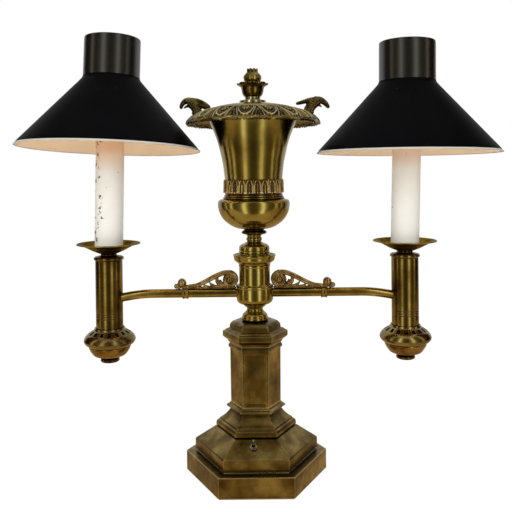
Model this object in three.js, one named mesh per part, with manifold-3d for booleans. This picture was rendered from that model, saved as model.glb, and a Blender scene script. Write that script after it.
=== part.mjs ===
// Two-light Argand lamp in antique brass, wired for electric candles. Millimetres, +Z up.
// The origin is the middle of the felt under the six-sided plinth. +X runs along the right arm.
// The stack from the plinth to the urn is clamped by a tie rod and an urn rod, one on each side
// of the hollow hub, and both arms screw into the hub.
import * as THREE from 'three';
import { mergeVertices } from 'three/addons/utils/BufferGeometryUtils.js';
import Module from 'manifold-3d';

const wasm = await Module();
wasm.setup();

// Driving dimensions

const runningGap = 0.3; // round every piece that is nested in or turned against another
const cutOverrun = 3; // how far a cutter runs past the face that it opens

const sideCount = { wire: 6, hexagon: 6, small: 8, medium: 12, large: 18, shade: 24 };

const felt = { corner: 78.5, height: 1.2 };
const plinth = { corner: 80.3, height: 22.3, wall: 3, ledge: 20, edge: 0.75 };
const step = { corner: 70, height: 28.5, wall: 3, topCorner: 46.5 };
const foot = { corner: 46, height: 27.6, bore: 25 };
const column = { corner: 31, height: 68.4, bore: 24 };
const panel = { width: 24, height: 58, depth: 0.6, middleShare: 0.46 };
const cap = { corner: 37.4, height: 24.5, bore: 24, top: 6.5 };
const neck = { radius: 15.3, height: 19.5 };
const hub = { radius: 21.6, height: 45, bore: 12.5, floor: 4.5, armRise: 12.3 };
const flange = { radius: 24.5, height: 11.5 };
const dome = { radius: 18.3, height: 14 };
const stem = { radius: 9, height: 8.9 };
const washer = { radius: 14.5, height: 4.9 };
const bowl = { radius: 41.4, height: 40.7, wall: 1.6, mouth: 34.2 };
const band = { radius: 34.9, height: 17.3, wall: 3.2 };
const urn = { radius: 53.8, height: 76.7, wall: 1.6 };
const brim = { radius: 78, bore: 42.5, drop: 14, rise: 3.7, lidLedge: 1.8, bead: 5.2 };
const lid = { radius: 45.5, rise: 8.5, plate: 2.2, spigotDepth: 5.8, bossRadius: 15.2, bossHeight: 3.2 };
const collar = { radius: 8.8, height: 4.6 };
const tulip = { radius: 18, height: 15.9, floorDepth: 4.5, mouth: 12 };
const bud = { radius: 10.6, height: 21.2 };
const stud = { radius: 2.5, headRadius: 6, headHeight: 3, reach: 9 };

const rod = { radius: 4.9, bore: 3, below: 9, above: 2.4 };
const rodNut = { corner: 8.6, height: 5.6 };
const urnRodTail = 5;

const cordBushing = { barrel: 5.2, bore: 3.6, flangeRadius: 7.5, flangeHeight: 1.6, tail: 1.5, level: 11.5 };
const toggle = { width: 8, depth: 12, body: 9, bushing: 2.9, bushingBore: 2.1, bushingHeight: 3.4 };
const toggleNut = { corner: 4.3, height: 1.8 };
const lever = { radius: 1.5, length: 10.5, tiltDegrees: 14, pivotLevel: 1 };
const toggleOffset = -3; // from the middle of the front slope, along X
const toggleShare = 0.58; // of the way up the slope

const arm = {
  radius: 5, wall: 1.4, droop: 4.2, droopLength: 36, startRun: 14.4, endRun: 10.8, startDepth: 8, steps: 9,
};
const strap = { width: 6.7, thickness: 1.5, distance: 79.5 };
const lead = { radius: 1.2, spread: 1.4, tail: 14, bend: 3.5, steps: 30 };
const scroll = {
  voluteRadius: 8.4, eyeRadius: 2.4, eyeBall: 3.8, voluteDistance: 28.6, voluteRise: 15, turns: 1.45,
  barRadius: 2.8, tipRadius: 2.2, width: 6, ballRadius: 5.2, ballOffset: 3.6, ballSeatShare: 0.92,
  budRadius: 3, budOffset: 6.7, baseRadius: 1.5, leafBreadthShare: 0.8, voluteSteps: 13, barSteps: 28,
};
const eagle = { overhang: 9, rise: 14, neckRadius: 5.8, breadthShare: 0.7, steps: 12 };

const burner = { radius: 15.3, wall: 1.5, flange: 16.9, height: 87.1, below: 36.7, ceiling: 6.1, entry: 6 };
const gallery = { radius: 29.2, height: 22, wall: 1.4, lap: 2.8 };
const galleryHoles = { count: 16, width: 4.6, length: 8, distance: 24.4, height: 4.2 };
const cup = {
  radius: 23.6, height: 18.4, wall: 1.4, spigot: 3, spigotRadius: 21.6, bendDepth: 3.7,
  floorRadius: 14.6, floorRise: 8.4,
};
const dish = { radius: 36, height: 12, wall: 1.3 };
const candle = { radius: 16, wall: 1.2, length: 127, lift: 4.7, leanDegrees: 1.5 };
const socket = { radius: 14.2, neckRadius: 10.9, height: 34, bore: 13.4, seat: 6 };
const nipple = { radius: 4.8, bore: 3.2, below: 14 };
const bulb = {
  radius: 15, height: 51, capRadius: 12.9, capHeight: 24, contactRadius: 6.4, contactHeight: 4.8,
};
const clip = {
  wire: 0.9, wires: 3, height: 36.2, discRadius: 8, discHeight: 1.4, post: 2.2, postHeight: 5, weld: 4.8,
};
const shade = {
  rim: 103.7, lip: 2.4, lipDrop: 0.8, coneHeight: 80.7, collar: 31.8, collarHeight: 45.5, wall: 0.8,
  spiderWidth: 6, spiderHeight: 1.2, spiderHub: 7, spiderLevel: 0.5,
};

// The arms are bent by hand, so one burner stands further out than the other. clipLevel is the
// height of the clip's hoop above the dish, and the leans are those of the clip on its bulb.
const leftSide = { reach: 167.2, clipLevel: 165, leanRightDegrees: 0.5, leanBackDegrees: -2.4 };
const rightSide = { reach: 172.8, clipLevel: 157, leanRightDegrees: -1.1, leanBackDegrees: -0.2 };
const sides = [{ name: 'left', sign: -1, ...leftSide }, { name: 'right', sign: 1, ...rightSide }];

// Outlines of the turned and six-sided pieces, from the foot of the outside up to its top.
// Each point is a share of the piece's radius or corner, and a share of its height.

const stepOutlineShares = [[0.974, 0], [0.974, 0.05], [1, 0.07], [1, 0.44], [0.977, 0.509]];
const footOutlineShares = [
  [0.924, 0], [1, 0.083], [1, 0.152], [0.959, 0.246], [0.889, 0.326], [0.811, 0.413],
  [0.665, 0.58], [0.637, 0.667], [0.685, 0.739], [0.735, 0.804], [0.735, 0.877], [0.64, 1],
];
const columnOutlineShares = [[0.923, 0], [0.935, 0.91], [1, 0.935], [1, 0.978], [0.955, 1]];
const capOutlineShares = [
  [0.815, 0], [0.858, 0.135], [0.949, 0.229], [1, 0.286], [1, 0.531], [0.91, 0.592],
  [0.78, 0.633], [0.78, 0.82], [0.735, 0.92], [0.68, 1],
];
const neckOutlineShares = [
  [0.915, 0], [1, 0.08], [1, 0.23], [0.967, 0.32], [0.824, 0.446], [0.64, 0.59],
  [0.588, 0.708], [0.64, 0.81], [0.817, 0.908], [0.9, 1],
];
const hubOutlineShares = [
  [0.67, 0], [0.824, 0.018], [0.935, 0.067], [0.972, 0.12], [0.972, 0.418], [1, 0.431],
  [1, 0.464], [0.954, 0.476], [0.815, 0.489], [0.815, 1],
];
const flangeOutlineShares = [[0.727, 0], [0.784, 0.174], [0.9, 0.39], [1, 0.54], [1, 0.92], [0.955, 1]];
const domeOutlineShares = [
  [0.94, 0], [1, 0.07], [1, 0.25], [0.962, 0.32], [0.984, 0.43], [0.945, 0.607], [0.76, 0.807], [0.514, 1],
];
const stemOutlineShares = [[0.91, 0], [0.91, 0.22], [1, 0.34], [1, 0.5], [0.91, 0.62], [0.91, 1]];
const washerOutlineShares = [[0.69, 0], [0.94, 0.16], [1, 0.39], [1, 0.59], [0.89, 0.88], [0.79, 1]];
const bowlOutlineShares = [
  [0.275, 0], [0.283, 0.042], [0.546, 0.098], [0.671, 0.155], [0.814, 0.263], [0.891, 0.378],
  [0.964, 0.548], [0.995, 0.681], [1, 0.779], [0.966, 0.887], [0.889, 0.943],
];
const bandOutlineShares = [[0.98, 0], [1, 0.08], [1, 0.9], [0.975, 1]];
const urnOutlineShares = [
  [0.614, 0], [0.618, 0.05], [0.65, 0.249], [0.697, 0.4], [0.743, 0.537], [0.8, 0.653],
  [0.876, 0.782], [0.941, 0.874], [0.977, 0.922], [0.996, 0.96], [1, 1],
];
// Down the brim's underside, round its edge and up again towards its bead. The first number is a
// share of the way from the urn's mouth out to the brim's edge.
const brimOutlineShares = [
  [0.09, 0.65], [0.54, 0.42], [0.836, 0.2], [0.947, 0], [1, 0.04], [0.962, 0.2],
  [0.77, 0.5], [0.543, 0.734], [0.24, 0.904], [0.03, 0.989],
];
const lidOutlineShares = [[1, 0], [1, 0.28], [0.966, 0.45], [0.66, 0.8]];
const collarOutlineShares = [[0.93, 0], [1, 0.22], [0.95, 0.46], [1, 0.7], [0.93, 1]];
const tulipOutlineShares = [
  [0.589, 0], [0.667, 0.16], [0.711, 0.34], [0.772, 0.56], [0.889, 0.78], [1, 0.91], [0.975, 1],
];
const budOutlineShares = [
  [0.774, 0], [0.774, 0.21], [0.943, 0.34], [1, 0.49], [0.92, 0.62], [0.7, 0.72], [0.69, 0.79],
  [0.66, 0.88], [0.35, 0.97],
];
const burnerOutlineShares = [
  [0.905, 0], [0.905, 0.916], [1, 0.925], [1, 0.958], [0.93, 0.965], [0.58, 0.972], [0.58, 1],
];
const galleryOutlineShares = [
  [0.83, 0], [0.887, 0.065], [0.955, 0.16], [1, 0.34], [0.98, 0.45], [0.93, 0.54], [0.877, 0.59],
  [0.76, 0.8], [0.7, 0.845], [0.605, 0.868],
];
const cupOutlineShares = [
  [0.45, 0], [0.45, 0.24], [0.36, 0.27], [0.36, 0.36], [0.7, 0.38], [0.82, 0.5], [0.895, 0.62],
  [0.955, 0.76], [1, 0.9], [1, 1],
];
const dishOutlineShares = [[0.27, 0], [0.461, 0.208], [0.847, 0.69], [0.972, 0.8], [1, 0.87], [1, 1]];
const bulbOutlineShares = [
  [0.84, 0], [0.9, 0.16], [1, 0.42], [1, 0.66], [0.93, 0.83], [0.72, 0.94], [0.4, 0.99],
];
const leverOutlineShares = [
  [0, -0.14], [0.75, -0.1], [1, 0], [0.6, 0.13], [0.72, 0.62], [1, 0.84], [0.7, 0.97], [0, 1],
];

// Middle lines of the curved pieces, from the end that is fixed. Those of the eagle head and its
// crest are shares of its reach and rise, with the head's thickness as shares of its neck radius.

const headPathShares = [
  [0.21, -0.19], [0.3, 0.164], [0.43, 0.486], [0.586, 0.62], [0.743, 0.52], [0.886, 0.28], [1, 0],
];
const headThicknessShares = [1, 0.97, 0.95, 0.93, 0.7, 0.42, 0.12];
const crestPathShares = [[0.486, 0.66], [-0.02, 0.4]];
const crestThicknessShares = [0.4, 0.12];
// The scroll's stem, in shares of its run to the strap and its drop from the volute's crown, and
// the leaf beside its volute, in shares of the volute's radius.
const scrollStemShares = [[0.16, 0.03], [0.36, 0.27], [0.58, 0.6], [0.78, 0.86], [1, 0.94]];
const leafPathShares = [[1.05, 0], [1.6, 0.4], [1.75, 1.1]];
const leafThicknessShares = [0.95, 0.45];
// A clip wire, in shares of the hoop's radius and of the clip's height.
const clipWireShares = [[1, 0], [1, 0.55], [0.85, 0.78]];

// Geometry

const degrees = THREE.MathUtils.degToRad;
const flatShare = Math.cos(degrees(30)); // of a hexagon's corner radius, out to its flat
const halfTurn = Math.PI;
const quarterTurn = halfTurn / 2;
const hexagonPhase = halfTurn / 6; // puts corners on the X axis and flats to the front and back
const mergeDistance = 0.00013; // off round numbers, so that no corner lies between two of its steps

const point = (radius, height) => new THREE.Vector2(radius, height);

const outline = (shares, radius, height, level = 0, inner = 0) =>
  shares.map(([r, h]) => point(inner + (radius - inner) * r, level + height * h));

// Closes an outline on itself down a straight bore.
const bored = (points, bore) => {
  const bottom = point(bore, points[0].y);
  return [bottom, ...points, point(bore, points.at(-1).y), bottom.clone()];
};

// The outline moved inwards by a wall. Its ends stay on their own level, or on their own radius
// where they run flat, so that open edges are cut square.
const inset = (points, wall) => points.map((here, i) => {
  const sidesHere = [points[i - 1] ?? null, points[i + 1] ?? null];
  const normals = [];
  if (sidesHere[0]) normals.push(point(sidesHere[0].y - here.y, here.x - sidesHere[0].x).normalize());
  if (sidesHere[1]) normals.push(point(here.y - sidesHere[1].y, sidesHere[1].x - here.x).normalize());
  if (normals.length === 1) {
    const [normal] = normals;
    const across = Math.abs(normal.x) > Math.abs(normal.y);
    return across ? point(here.x + wall / normal.x, here.y) : point(here.x, here.y + wall / normal.y);
  }
  const middle = normals[0].clone().add(normals[1]).normalize();
  return here.clone().addScaledVector(middle, wall / middle.dot(normals[0]));
});

// Closes an outline on itself along its own inside, one wall away.
const shell = (points, wall) => [...points, ...inset(points, wall).reverse(), points[0].clone()];

const turned = (points, segments, phase = 0) =>
  new THREE.LatheGeometry(points, segments, phase).rotateX(quarterTurn);

const sixSided = (points) => turned(points, sideCount.hexagon, hexagonPhase);

// The corner radius of a faceted bore whose flats clear a round piece by the running gap.
const roomFor = (radius, segments) => (radius + runningGap) / Math.cos(halfTurn / segments);

const rodBetween = (radius, bottom, top, segments = sideCount.small) =>
  turned([point(0, bottom), point(radius, bottom), point(radius, top), point(0, top)], segments);

const solidOf = (geometry) => {
  const plain = geometry.clone();
  plain.deleteAttribute('normal');
  plain.deleteAttribute('uv');
  const merged = mergeVertices(plain, mergeDistance);
  const corners = [];
  for (let i = 0; i < merged.index.count; i += 3) {
    const [a, b, c] = [merged.index.getX(i), merged.index.getX(i + 1), merged.index.getX(i + 2)];
    if (a !== b && b !== c && c !== a) corners.push(a, b, c);
  }
  const vertProperties = new Float32Array(merged.attributes.position.array);
  const triVerts = new Uint32Array(corners);
  return new wasm.Manifold(new wasm.Mesh({ numProp: 3, vertProperties, triVerts }));
};

const geometryOf = (solid) => {
  const mesh = solid.getMesh();
  const geometry = new THREE.BufferGeometry();
  geometry.setAttribute('position', new THREE.BufferAttribute(mesh.vertProperties, 3));
  geometry.setIndex(new THREE.BufferAttribute(mesh.triVerts, 1));
  return geometry;
};

const joined = (geometries) => geometries.map(solidOf).reduce((whole, next) => whole.add(next));

const cut = (geometry, cutters) =>
  geometryOf(cutters.map(solidOf).reduce((whole, next) => whole.subtract(next), solidOf(geometry)));

const circle = (radius, sidesHere) => {
  const shape = new THREE.Shape();
  for (let i = 0; i < sidesHere; i += 1) {
    const angle = (2 * halfTurn * i) / sidesHere;
    shape[i ? 'lineTo' : 'moveTo'](radius * Math.cos(angle), radius * Math.sin(angle));
  }
  shape.closePath();
  return shape;
};

const tubeAlong = (path, radius, steps, bore = 0, sidesHere = sideCount.small) => {
  const shape = circle(radius, sidesHere);
  if (bore) shape.holes.push(circle(bore, sidesHere));
  return new THREE.ExtrudeGeometry(shape, { steps, extrudePath: path, bevelEnabled: false });
};

// A closed bar with elliptical rings along a curve in the XZ plane. radiusAt gives half its depth
// in that plane at a share of the way along, and breadth is its width along Y over that depth.
const taperedBar = (path, radiusAt, breadth, steps, sidesHere) => {
  const places = [];
  const corners = [];
  const across = new THREE.Vector3(0, 1, 0);
  for (let i = 0; i <= steps; i += 1) {
    const share = i / steps;
    const middle = path.getPointAt(share);
    const upward = path.getTangentAt(share).cross(across);
    for (let j = 0; j < sidesHere; j += 1) {
      const angle = (2 * halfTurn * j) / sidesHere;
      const place = middle.clone().addScaledVector(across, radiusAt(share) * breadth * Math.cos(angle));
      places.push(...place.addScaledVector(upward, radiusAt(share) * Math.sin(angle)).toArray());
    }
  }
  const first = (steps + 1) * sidesHere;
  places.push(...path.getPointAt(0).toArray(), ...path.getPointAt(1).toArray());
  for (let j = 0; j < sidesHere; j += 1) {
    const next = (j + 1) % sidesHere;
    for (let i = 0; i < steps; i += 1) {
      const [a, b] = [i * sidesHere + j, i * sidesHere + next];
      corners.push(a, b, a + sidesHere, b, b + sidesHere, a + sidesHere);
    }
    corners.push(first, next, j, first + 1, steps * sidesHere + j, steps * sidesHere + next);
  }
  const geometry = new THREE.BufferGeometry();
  geometry.setAttribute('position', new THREE.Float32BufferAttribute(places, 3));
  geometry.setIndex(corners);
  return geometry;
};

const ball = (radius, x, y, z) =>
  new THREE.SphereGeometry(radius, sideCount.small, sideCount.wire).translate(x, y, z);

const block = (width, depth, height, x, y, z) =>
  new THREE.BoxGeometry(width, depth, height).translate(x, y, z);

// Finishes

const finish = (color, roughness, metalness) => () =>
  new THREE.MeshStandardMaterial({ color, roughness, metalness });
const brass = finish('#8a6f2a', 0.34, 1);
const darkBrass = finish('#57451c', 0.45, 1);
const baseBrass = finish('#7d5f2a', 0.42, 1);
const paleMetal = finish('#cfc8ae', 0.3, 1);
const steel = finish('#8d8f92', 0.4, 1);
const blackPaint = finish('#0d0d0e', 0.38, 0);
const blackPlastic = finish('#19191a', 0.5, 0);
const whiteSleeve = finish('#f0eee8', 0.55, 0);
const frostedGlass = finish('#f4efe2', 0.25, 0);
const greenFelt = finish('#2c3b2e', 0.95, 0);
const clothLead = finish('#c9a24a', 0.8, 0);

const lamp = new THREE.Group();

const add = (name, geometry, material, parent = lamp) => {
  geometry.computeVertexNormals();
  const mesh = new THREE.Mesh(geometry, material());
  mesh.name = name;
  parent.add(mesh);
  return mesh;
};

// Levels of the stack, each piece standing on the one before

const plinthLevel = felt.height;
const stepLevel = plinthLevel + plinth.height;
const footLevel = stepLevel + step.height;
const columnLevel = footLevel + foot.height;
const capLevel = columnLevel + column.height;
const neckLevel = capLevel + cap.height;
const hubLevel = neckLevel + neck.height;
const flangeLevel = hubLevel + hub.height;
const domeLevel = flangeLevel + flange.height;
const stemLevel = domeLevel + dome.height;
const washerLevel = stemLevel + stem.height;
const bowlLevel = washerLevel + washer.height;
const bandLevel = bowlLevel + bowl.height;
const urnLevel = bandLevel + band.height;
const brimLevel = urnLevel + urn.height;
const armLevel = hubLevel + hub.armRise;
const rodRoom = roomFor(rod.radius, sideCount.medium);
const hexagonRodRoom = roomFor(rod.radius, sideCount.hexagon);

// Base: a felt sheet, the hollow plinth and the hollow step that carries the switch

add('base_felt', sixSided([
  point(0, 0), point(felt.corner, 0), point(felt.corner, felt.height), point(0, felt.height),
]), greenFelt);

const plinthOutline = [
  point(plinth.corner, plinthLevel),
  point(plinth.corner, stepLevel - plinth.edge),
  point(plinth.corner - plinth.edge, stepLevel),
  point(plinth.corner - plinth.ledge, stepLevel),
];
const cordHole = rodBetween(cordBushing.barrel + runningGap, 0, plinth.corner, sideCount.medium)
  .rotateX(-quarterTurn).translate(0, 0, cordBushing.level);
add('base_plinth', cut(sixSided(shell(plinthOutline, plinth.wall)), [cordHole]), baseBrass);

const stepOutline = [
  ...outline(stepOutlineShares, step.corner, step.height, stepLevel),
  point(step.topCorner, footLevel),
  point(hexagonRodRoom, footLevel),
];
const slopeRun = (stepOutline[4].x - step.topCorner) * flatShare;
const slopeAngle = Math.atan2(footLevel - stepOutline[4].y, slopeRun);
const toggleHome = new THREE.Group();
toggleHome.position.set(
  toggleOffset,
  -(stepOutline[4].x * flatShare - slopeRun * toggleShare),
  stepOutline[4].y + (footLevel - stepOutline[4].y) * toggleShare,
);
toggleHome.rotation.x = slopeAngle;
lamp.add(toggleHome);
toggleHome.updateMatrix();
const toggleHole = rodBetween(toggle.bushing + runningGap, -step.wall - cutOverrun, cutOverrun)
  .applyMatrix4(toggleHome.matrix);
add('base_step', cut(sixSided(shell(stepOutline, step.wall)), [toggleHole]), baseBrass);

const backFace = plinth.corner * flatShare;
const bushingOutline = [
  point(cordBushing.barrel, backFace - plinth.wall - cordBushing.tail),
  point(cordBushing.barrel, backFace + runningGap),
  point(cordBushing.flangeRadius, backFace + runningGap),
  point(cordBushing.flangeRadius, backFace + runningGap + cordBushing.flangeHeight / 2),
  point(cordBushing.barrel, backFace + runningGap + cordBushing.flangeHeight),
];
add('cord_bushing', turned(bored(bushingOutline, cordBushing.bore), sideCount.medium)
  .rotateX(-quarterTurn).translate(0, 0, cordBushing.level), blackPlastic);

// Toggle switch in the front slope, built along the slope's own normal

const toggleTop = -step.wall - runningGap;
const togglePivot = lever.pivotLevel;
const toggleBarrel = bored([
  point(toggle.bushing, toggleTop - runningGap),
  point(toggle.bushing, toggle.bushingHeight),
], toggle.bushingBore);
const toggleBlock = block(
  toggle.width, toggle.depth, toggle.body, 0, 0, toggleTop - toggle.body / 2,
);
const toggleBody = geometryOf(joined([toggleBlock, turned(toggleBarrel, sideCount.small)]));
add('switch_body', toggleBody, blackPlastic, toggleHome);

const toggleNutOutline = [point(toggleNut.corner, 0), point(toggleNut.corner, toggleNut.height)];
const toggleNutLoop = bored(toggleNutOutline, roomFor(toggle.bushing, sideCount.hexagon));
const toggleNutMesh = add('switch_nut', sixSided(toggleNutLoop), steel, toggleHome);
toggleNutMesh.position.z = runningGap;

const leverOutline = outline(leverOutlineShares, lever.radius, lever.length);
const leverMesh = add('switch_lever', turned(leverOutline, sideCount.small), steel, toggleHome);
leverMesh.position.z = togglePivot;
leverMesh.rotation.x = -degrees(lever.tiltDegrees);

// Pedestal of three hollow castings and the neck, all threaded on the tie rod

add('pedestal_foot', sixSided(
  bored(outline(footOutlineShares, foot.corner, foot.height, footLevel), foot.bore),
), baseBrass);

const columnFlat = column.corner * columnOutlineShares[0][0] * flatShare;
const panelLevel = columnLevel + column.height * panel.middleShare;
const panels = Array.from({ length: sideCount.hexagon }, (_, i) =>
  block(panel.width, cutOverrun * 2, panel.height, 0, columnFlat - panel.depth + cutOverrun, panelLevel)
    .rotateZ((2 * halfTurn * i) / sideCount.hexagon));
const columnOutline = outline(columnOutlineShares, column.corner, column.height, columnLevel);
add('pedestal_column', cut(sixSided(bored(columnOutline, column.bore)), panels), baseBrass);

add('pedestal_cap', sixSided([
  point(cap.bore, capLevel),
  ...outline(capOutlineShares, cap.corner, cap.height, capLevel),
  point(hexagonRodRoom, neckLevel),
  point(hexagonRodRoom, neckLevel - cap.top),
  point(cap.bore, neckLevel - cap.top),
  point(cap.bore, capLevel),
]), baseBrass);
add('neck_baluster', turned(
  bored(outline(neckOutlineShares, neck.radius, neck.height, neckLevel), rodRoom), sideCount.medium,
), brass);

const hubFloor = hubLevel + hub.floor;
const nutOutline = (level) => [point(rodNut.corner, level), point(rodNut.corner, level + rodNut.height)];
const clampNut = (level) => sixSided(bored(nutOutline(level), hexagonRodRoom));
const rodNutLevel = footLevel - step.wall - rodNut.height;
add('tie_rod', turned(bored([
  point(rod.radius, rodNutLevel - rod.below),
  point(rod.radius, hubFloor + rodNut.height + rod.above),
], rod.bore), sideCount.small), steel);
add('rod_nut_base', clampNut(rodNutLevel), steel);
add('rod_nut_hub', clampNut(hubFloor), steel);

// Hub: a hollow drum with a plate and a dome over it

const hubOutline = [
  ...outline(hubOutlineShares, hub.radius, hub.height, hubLevel),
  point(hub.bore, flangeLevel),
  point(hub.bore, hubFloor),
  point(rodRoom, hubFloor),
];
const hubLoop = [point(rodRoom, hubLevel), ...hubOutline, point(rodRoom, hubLevel)];
const hubSide = hub.radius + cutOverrun;
const armHole = rodBetween(roomFor(arm.radius, sideCount.small), -hubSide, hubSide)
  .rotateY(quarterTurn).translate(0, 0, armLevel);
add('hub_drum', cut(turned(hubLoop, sideCount.large), [armHole]), brass);
add('hub_flange', turned(
  bored(outline(flangeOutlineShares, flange.radius, flange.height, flangeLevel), rodRoom), sideCount.large,
), brass);
add('hub_dome', turned(
  bored(outline(domeOutlineShares, dome.radius, dome.height, domeLevel), rodRoom), sideCount.medium,
), brass);

// Urn: a stem and washer, the bowl, the leaf band, the flared body and the cast brim

add('urn_stem', turned(
  bored(outline(stemOutlineShares, stem.radius, stem.height, stemLevel), rodRoom), sideCount.medium,
), brass);
add('stem_washer', turned(
  bored(outline(washerOutlineShares, washer.radius, washer.height, washerLevel), rodRoom), sideCount.medium,
), darkBrass);

const bowlOutline = [
  point(rodRoom, bowlLevel),
  ...outline(bowlOutlineShares, bowl.radius, bowl.height, bowlLevel),
  point(bowl.mouth, bandLevel - bowl.wall),
  point(bowl.mouth, bandLevel),
];
add('urn_bowl', turned(shell(bowlOutline, bowl.wall), sideCount.large), brass);

const bowlFloor = bowlLevel + bowl.wall;
const urnRodTop = bowlFloor + rodNut.height + rod.above;
add('urn_rod', rodBetween(rod.radius, flangeLevel - urnRodTail, urnRodTop), steel);
add('urn_nut', clampNut(bowlFloor), steel);

const bandOutline = outline(bandOutlineShares, band.radius, band.height, bandLevel);
add('urn_band', turned(bored(bandOutline, band.radius - band.wall), sideCount.large), brass);
const urnOutline = outline(urnOutlineShares, urn.radius, urn.height, urnLevel);
add('urn_body', turned(shell(urnOutline, urn.wall), sideCount.large), brass);

const lidLevel = brimLevel + brim.lidLedge;
const ledgeRadius = lid.radius + runningGap;
const urnRoom = roomFor(urn.radius, sideCount.shade);
const brimHeight = brim.drop + brim.rise;
const brimLoop = [
  point(brim.bore, brimLevel),
  point(urnRoom, brimLevel),
  ...outline(brimOutlineShares, brim.radius, brimHeight, brimLevel - brim.drop, urnRoom),
  point(ledgeRadius + brim.bead, brimLevel + brim.rise),
  point(ledgeRadius, brimLevel + brim.rise),
  point(ledgeRadius, lidLevel),
  point(brim.bore, lidLevel),
  point(brim.bore, brimLevel),
];
add('urn_rim', turned(brimLoop, sideCount.shade), brass);

// Lid and finial, held together by a stud with its head under the lid

const studHole = stud.radius + runningGap;
const bossLevel = lidLevel + lid.rise;
const collarLevel = bossLevel + lid.bossHeight;
const tulipLevel = collarLevel + collar.height;
const budLevel = tulipLevel + tulip.height - tulip.floorDepth;
const lidCeiling = bossLevel - lid.plate;
const spigotRadius = brim.bore - runningGap;
const lidLoop = [
  point(spigotRadius - lid.plate, lidLevel - lid.spigotDepth),
  point(spigotRadius, lidLevel - lid.spigotDepth),
  point(spigotRadius, lidLevel),
  ...outline(lidOutlineShares, lid.radius, lid.rise, lidLevel),
  point(lid.bossRadius, bossLevel),
  point(lid.bossRadius, collarLevel - lid.plate / 3),
  point(lid.bossRadius - lid.plate / 3, collarLevel),
  point(studHole, collarLevel),
  point(studHole, lidCeiling),
  point(lid.bossRadius, lidCeiling),
  point(spigotRadius - lid.plate, lidLevel),
  point(spigotRadius - lid.plate, lidLevel - lid.spigotDepth),
];
add('urn_lid', turned(lidLoop, sideCount.shade), brass);
add('finial_collar', turned(
  bored(outline(collarOutlineShares, collar.radius, collar.height, collarLevel), studHole), sideCount.medium,
), paleMetal);
const tulipLoop = [
  point(studHole, tulipLevel),
  ...outline(tulipOutlineShares, tulip.radius, tulip.height, tulipLevel),
  point(tulip.mouth, budLevel),
  point(studHole, budLevel),
  point(studHole, tulipLevel),
];
add('finial_cup', turned(tulipLoop, sideCount.medium), darkBrass);
const studTop = budLevel + stud.reach;
const budLoop = [
  point(0, studTop + runningGap),
  point(studHole, studTop + runningGap),
  point(studHole, budLevel),
  ...outline(budOutlineShares, bud.radius, bud.height, budLevel),
  point(0, budLevel + bud.height),
];
add('finial_bud', turned(budLoop, sideCount.medium), brass);
add('finial_stud', turned([
  point(0, lidCeiling - stud.headHeight),
  point(stud.headRadius, lidCeiling - stud.headHeight),
  point(stud.headRadius, lidCeiling),
  point(stud.radius, lidCeiling),
  point(stud.radius, studTop),
  point(0, studTop),
], sideCount.small), steel);

// Eagle head on each side of the brim: one tapered bar from the neck over the crown to the beak

const eagleHead = (sign) => {
  const root = ledgeRadius + brim.bead;
  const span = brim.radius + eagle.overhang - root;
  const base = brimLevel + brim.rise;
  const curveOf = (shares) => new THREE.CatmullRomCurve3(shares.map(([out, up]) =>
    new THREE.Vector3(sign * (root + span * out), 0, base + eagle.rise * up)));
  const thickness = (shares) => (share) => {
    const place = share * (shares.length - 1);
    const index = Math.min(Math.floor(place), shares.length - 2);
    return eagle.neckRadius * THREE.MathUtils.lerp(shares[index], shares[index + 1], place - index);
  };
  const headThickness = thickness(headThicknessShares);
  const head = taperedBar(
    curveOf(headPathShares), headThickness, eagle.breadthShare, eagle.steps, sideCount.small,
  );
  const crest = taperedBar(
    curveOf(crestPathShares), thickness(crestThicknessShares), 1, crestPathShares.length, sideCount.wire,
  );
  const clearBrim = brimLoop.map((place) => point(place.x, place.y + runningGap));
  return geometryOf(joined([head, crest])
    .subtract(solidOf(turned(clearBrim, sideCount.shade)))
    .subtract(solidOf(turned(brimLoop, sideCount.shade))));
};

// Arms, with their leads, scroll brackets and straps

const wallFace = (side) => side.reach - burner.radius;
const armEndSlope = Math.atan2(arm.droop / 2, arm.endRun);
const armPath = (side, start, end) => {
  const bend = wallFace(side) - arm.droopLength;
  const at = (x, z) => new THREE.Vector3(side.sign * x, 0, z);
  const path = new THREE.CurvePath();
  path.add(new THREE.LineCurve3(at(start, armLevel), at(bend, armLevel)));
  path.add(new THREE.CubicBezierCurve3(
    at(bend, armLevel),
    at(bend + arm.startRun, armLevel),
    at(end - arm.endRun, armLevel - arm.droop / 2),
    at(end, armLevel - arm.droop),
  ));
  return path;
};

const armStart = hub.radius - arm.startDepth;
const armEndInset = burner.wall;

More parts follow.
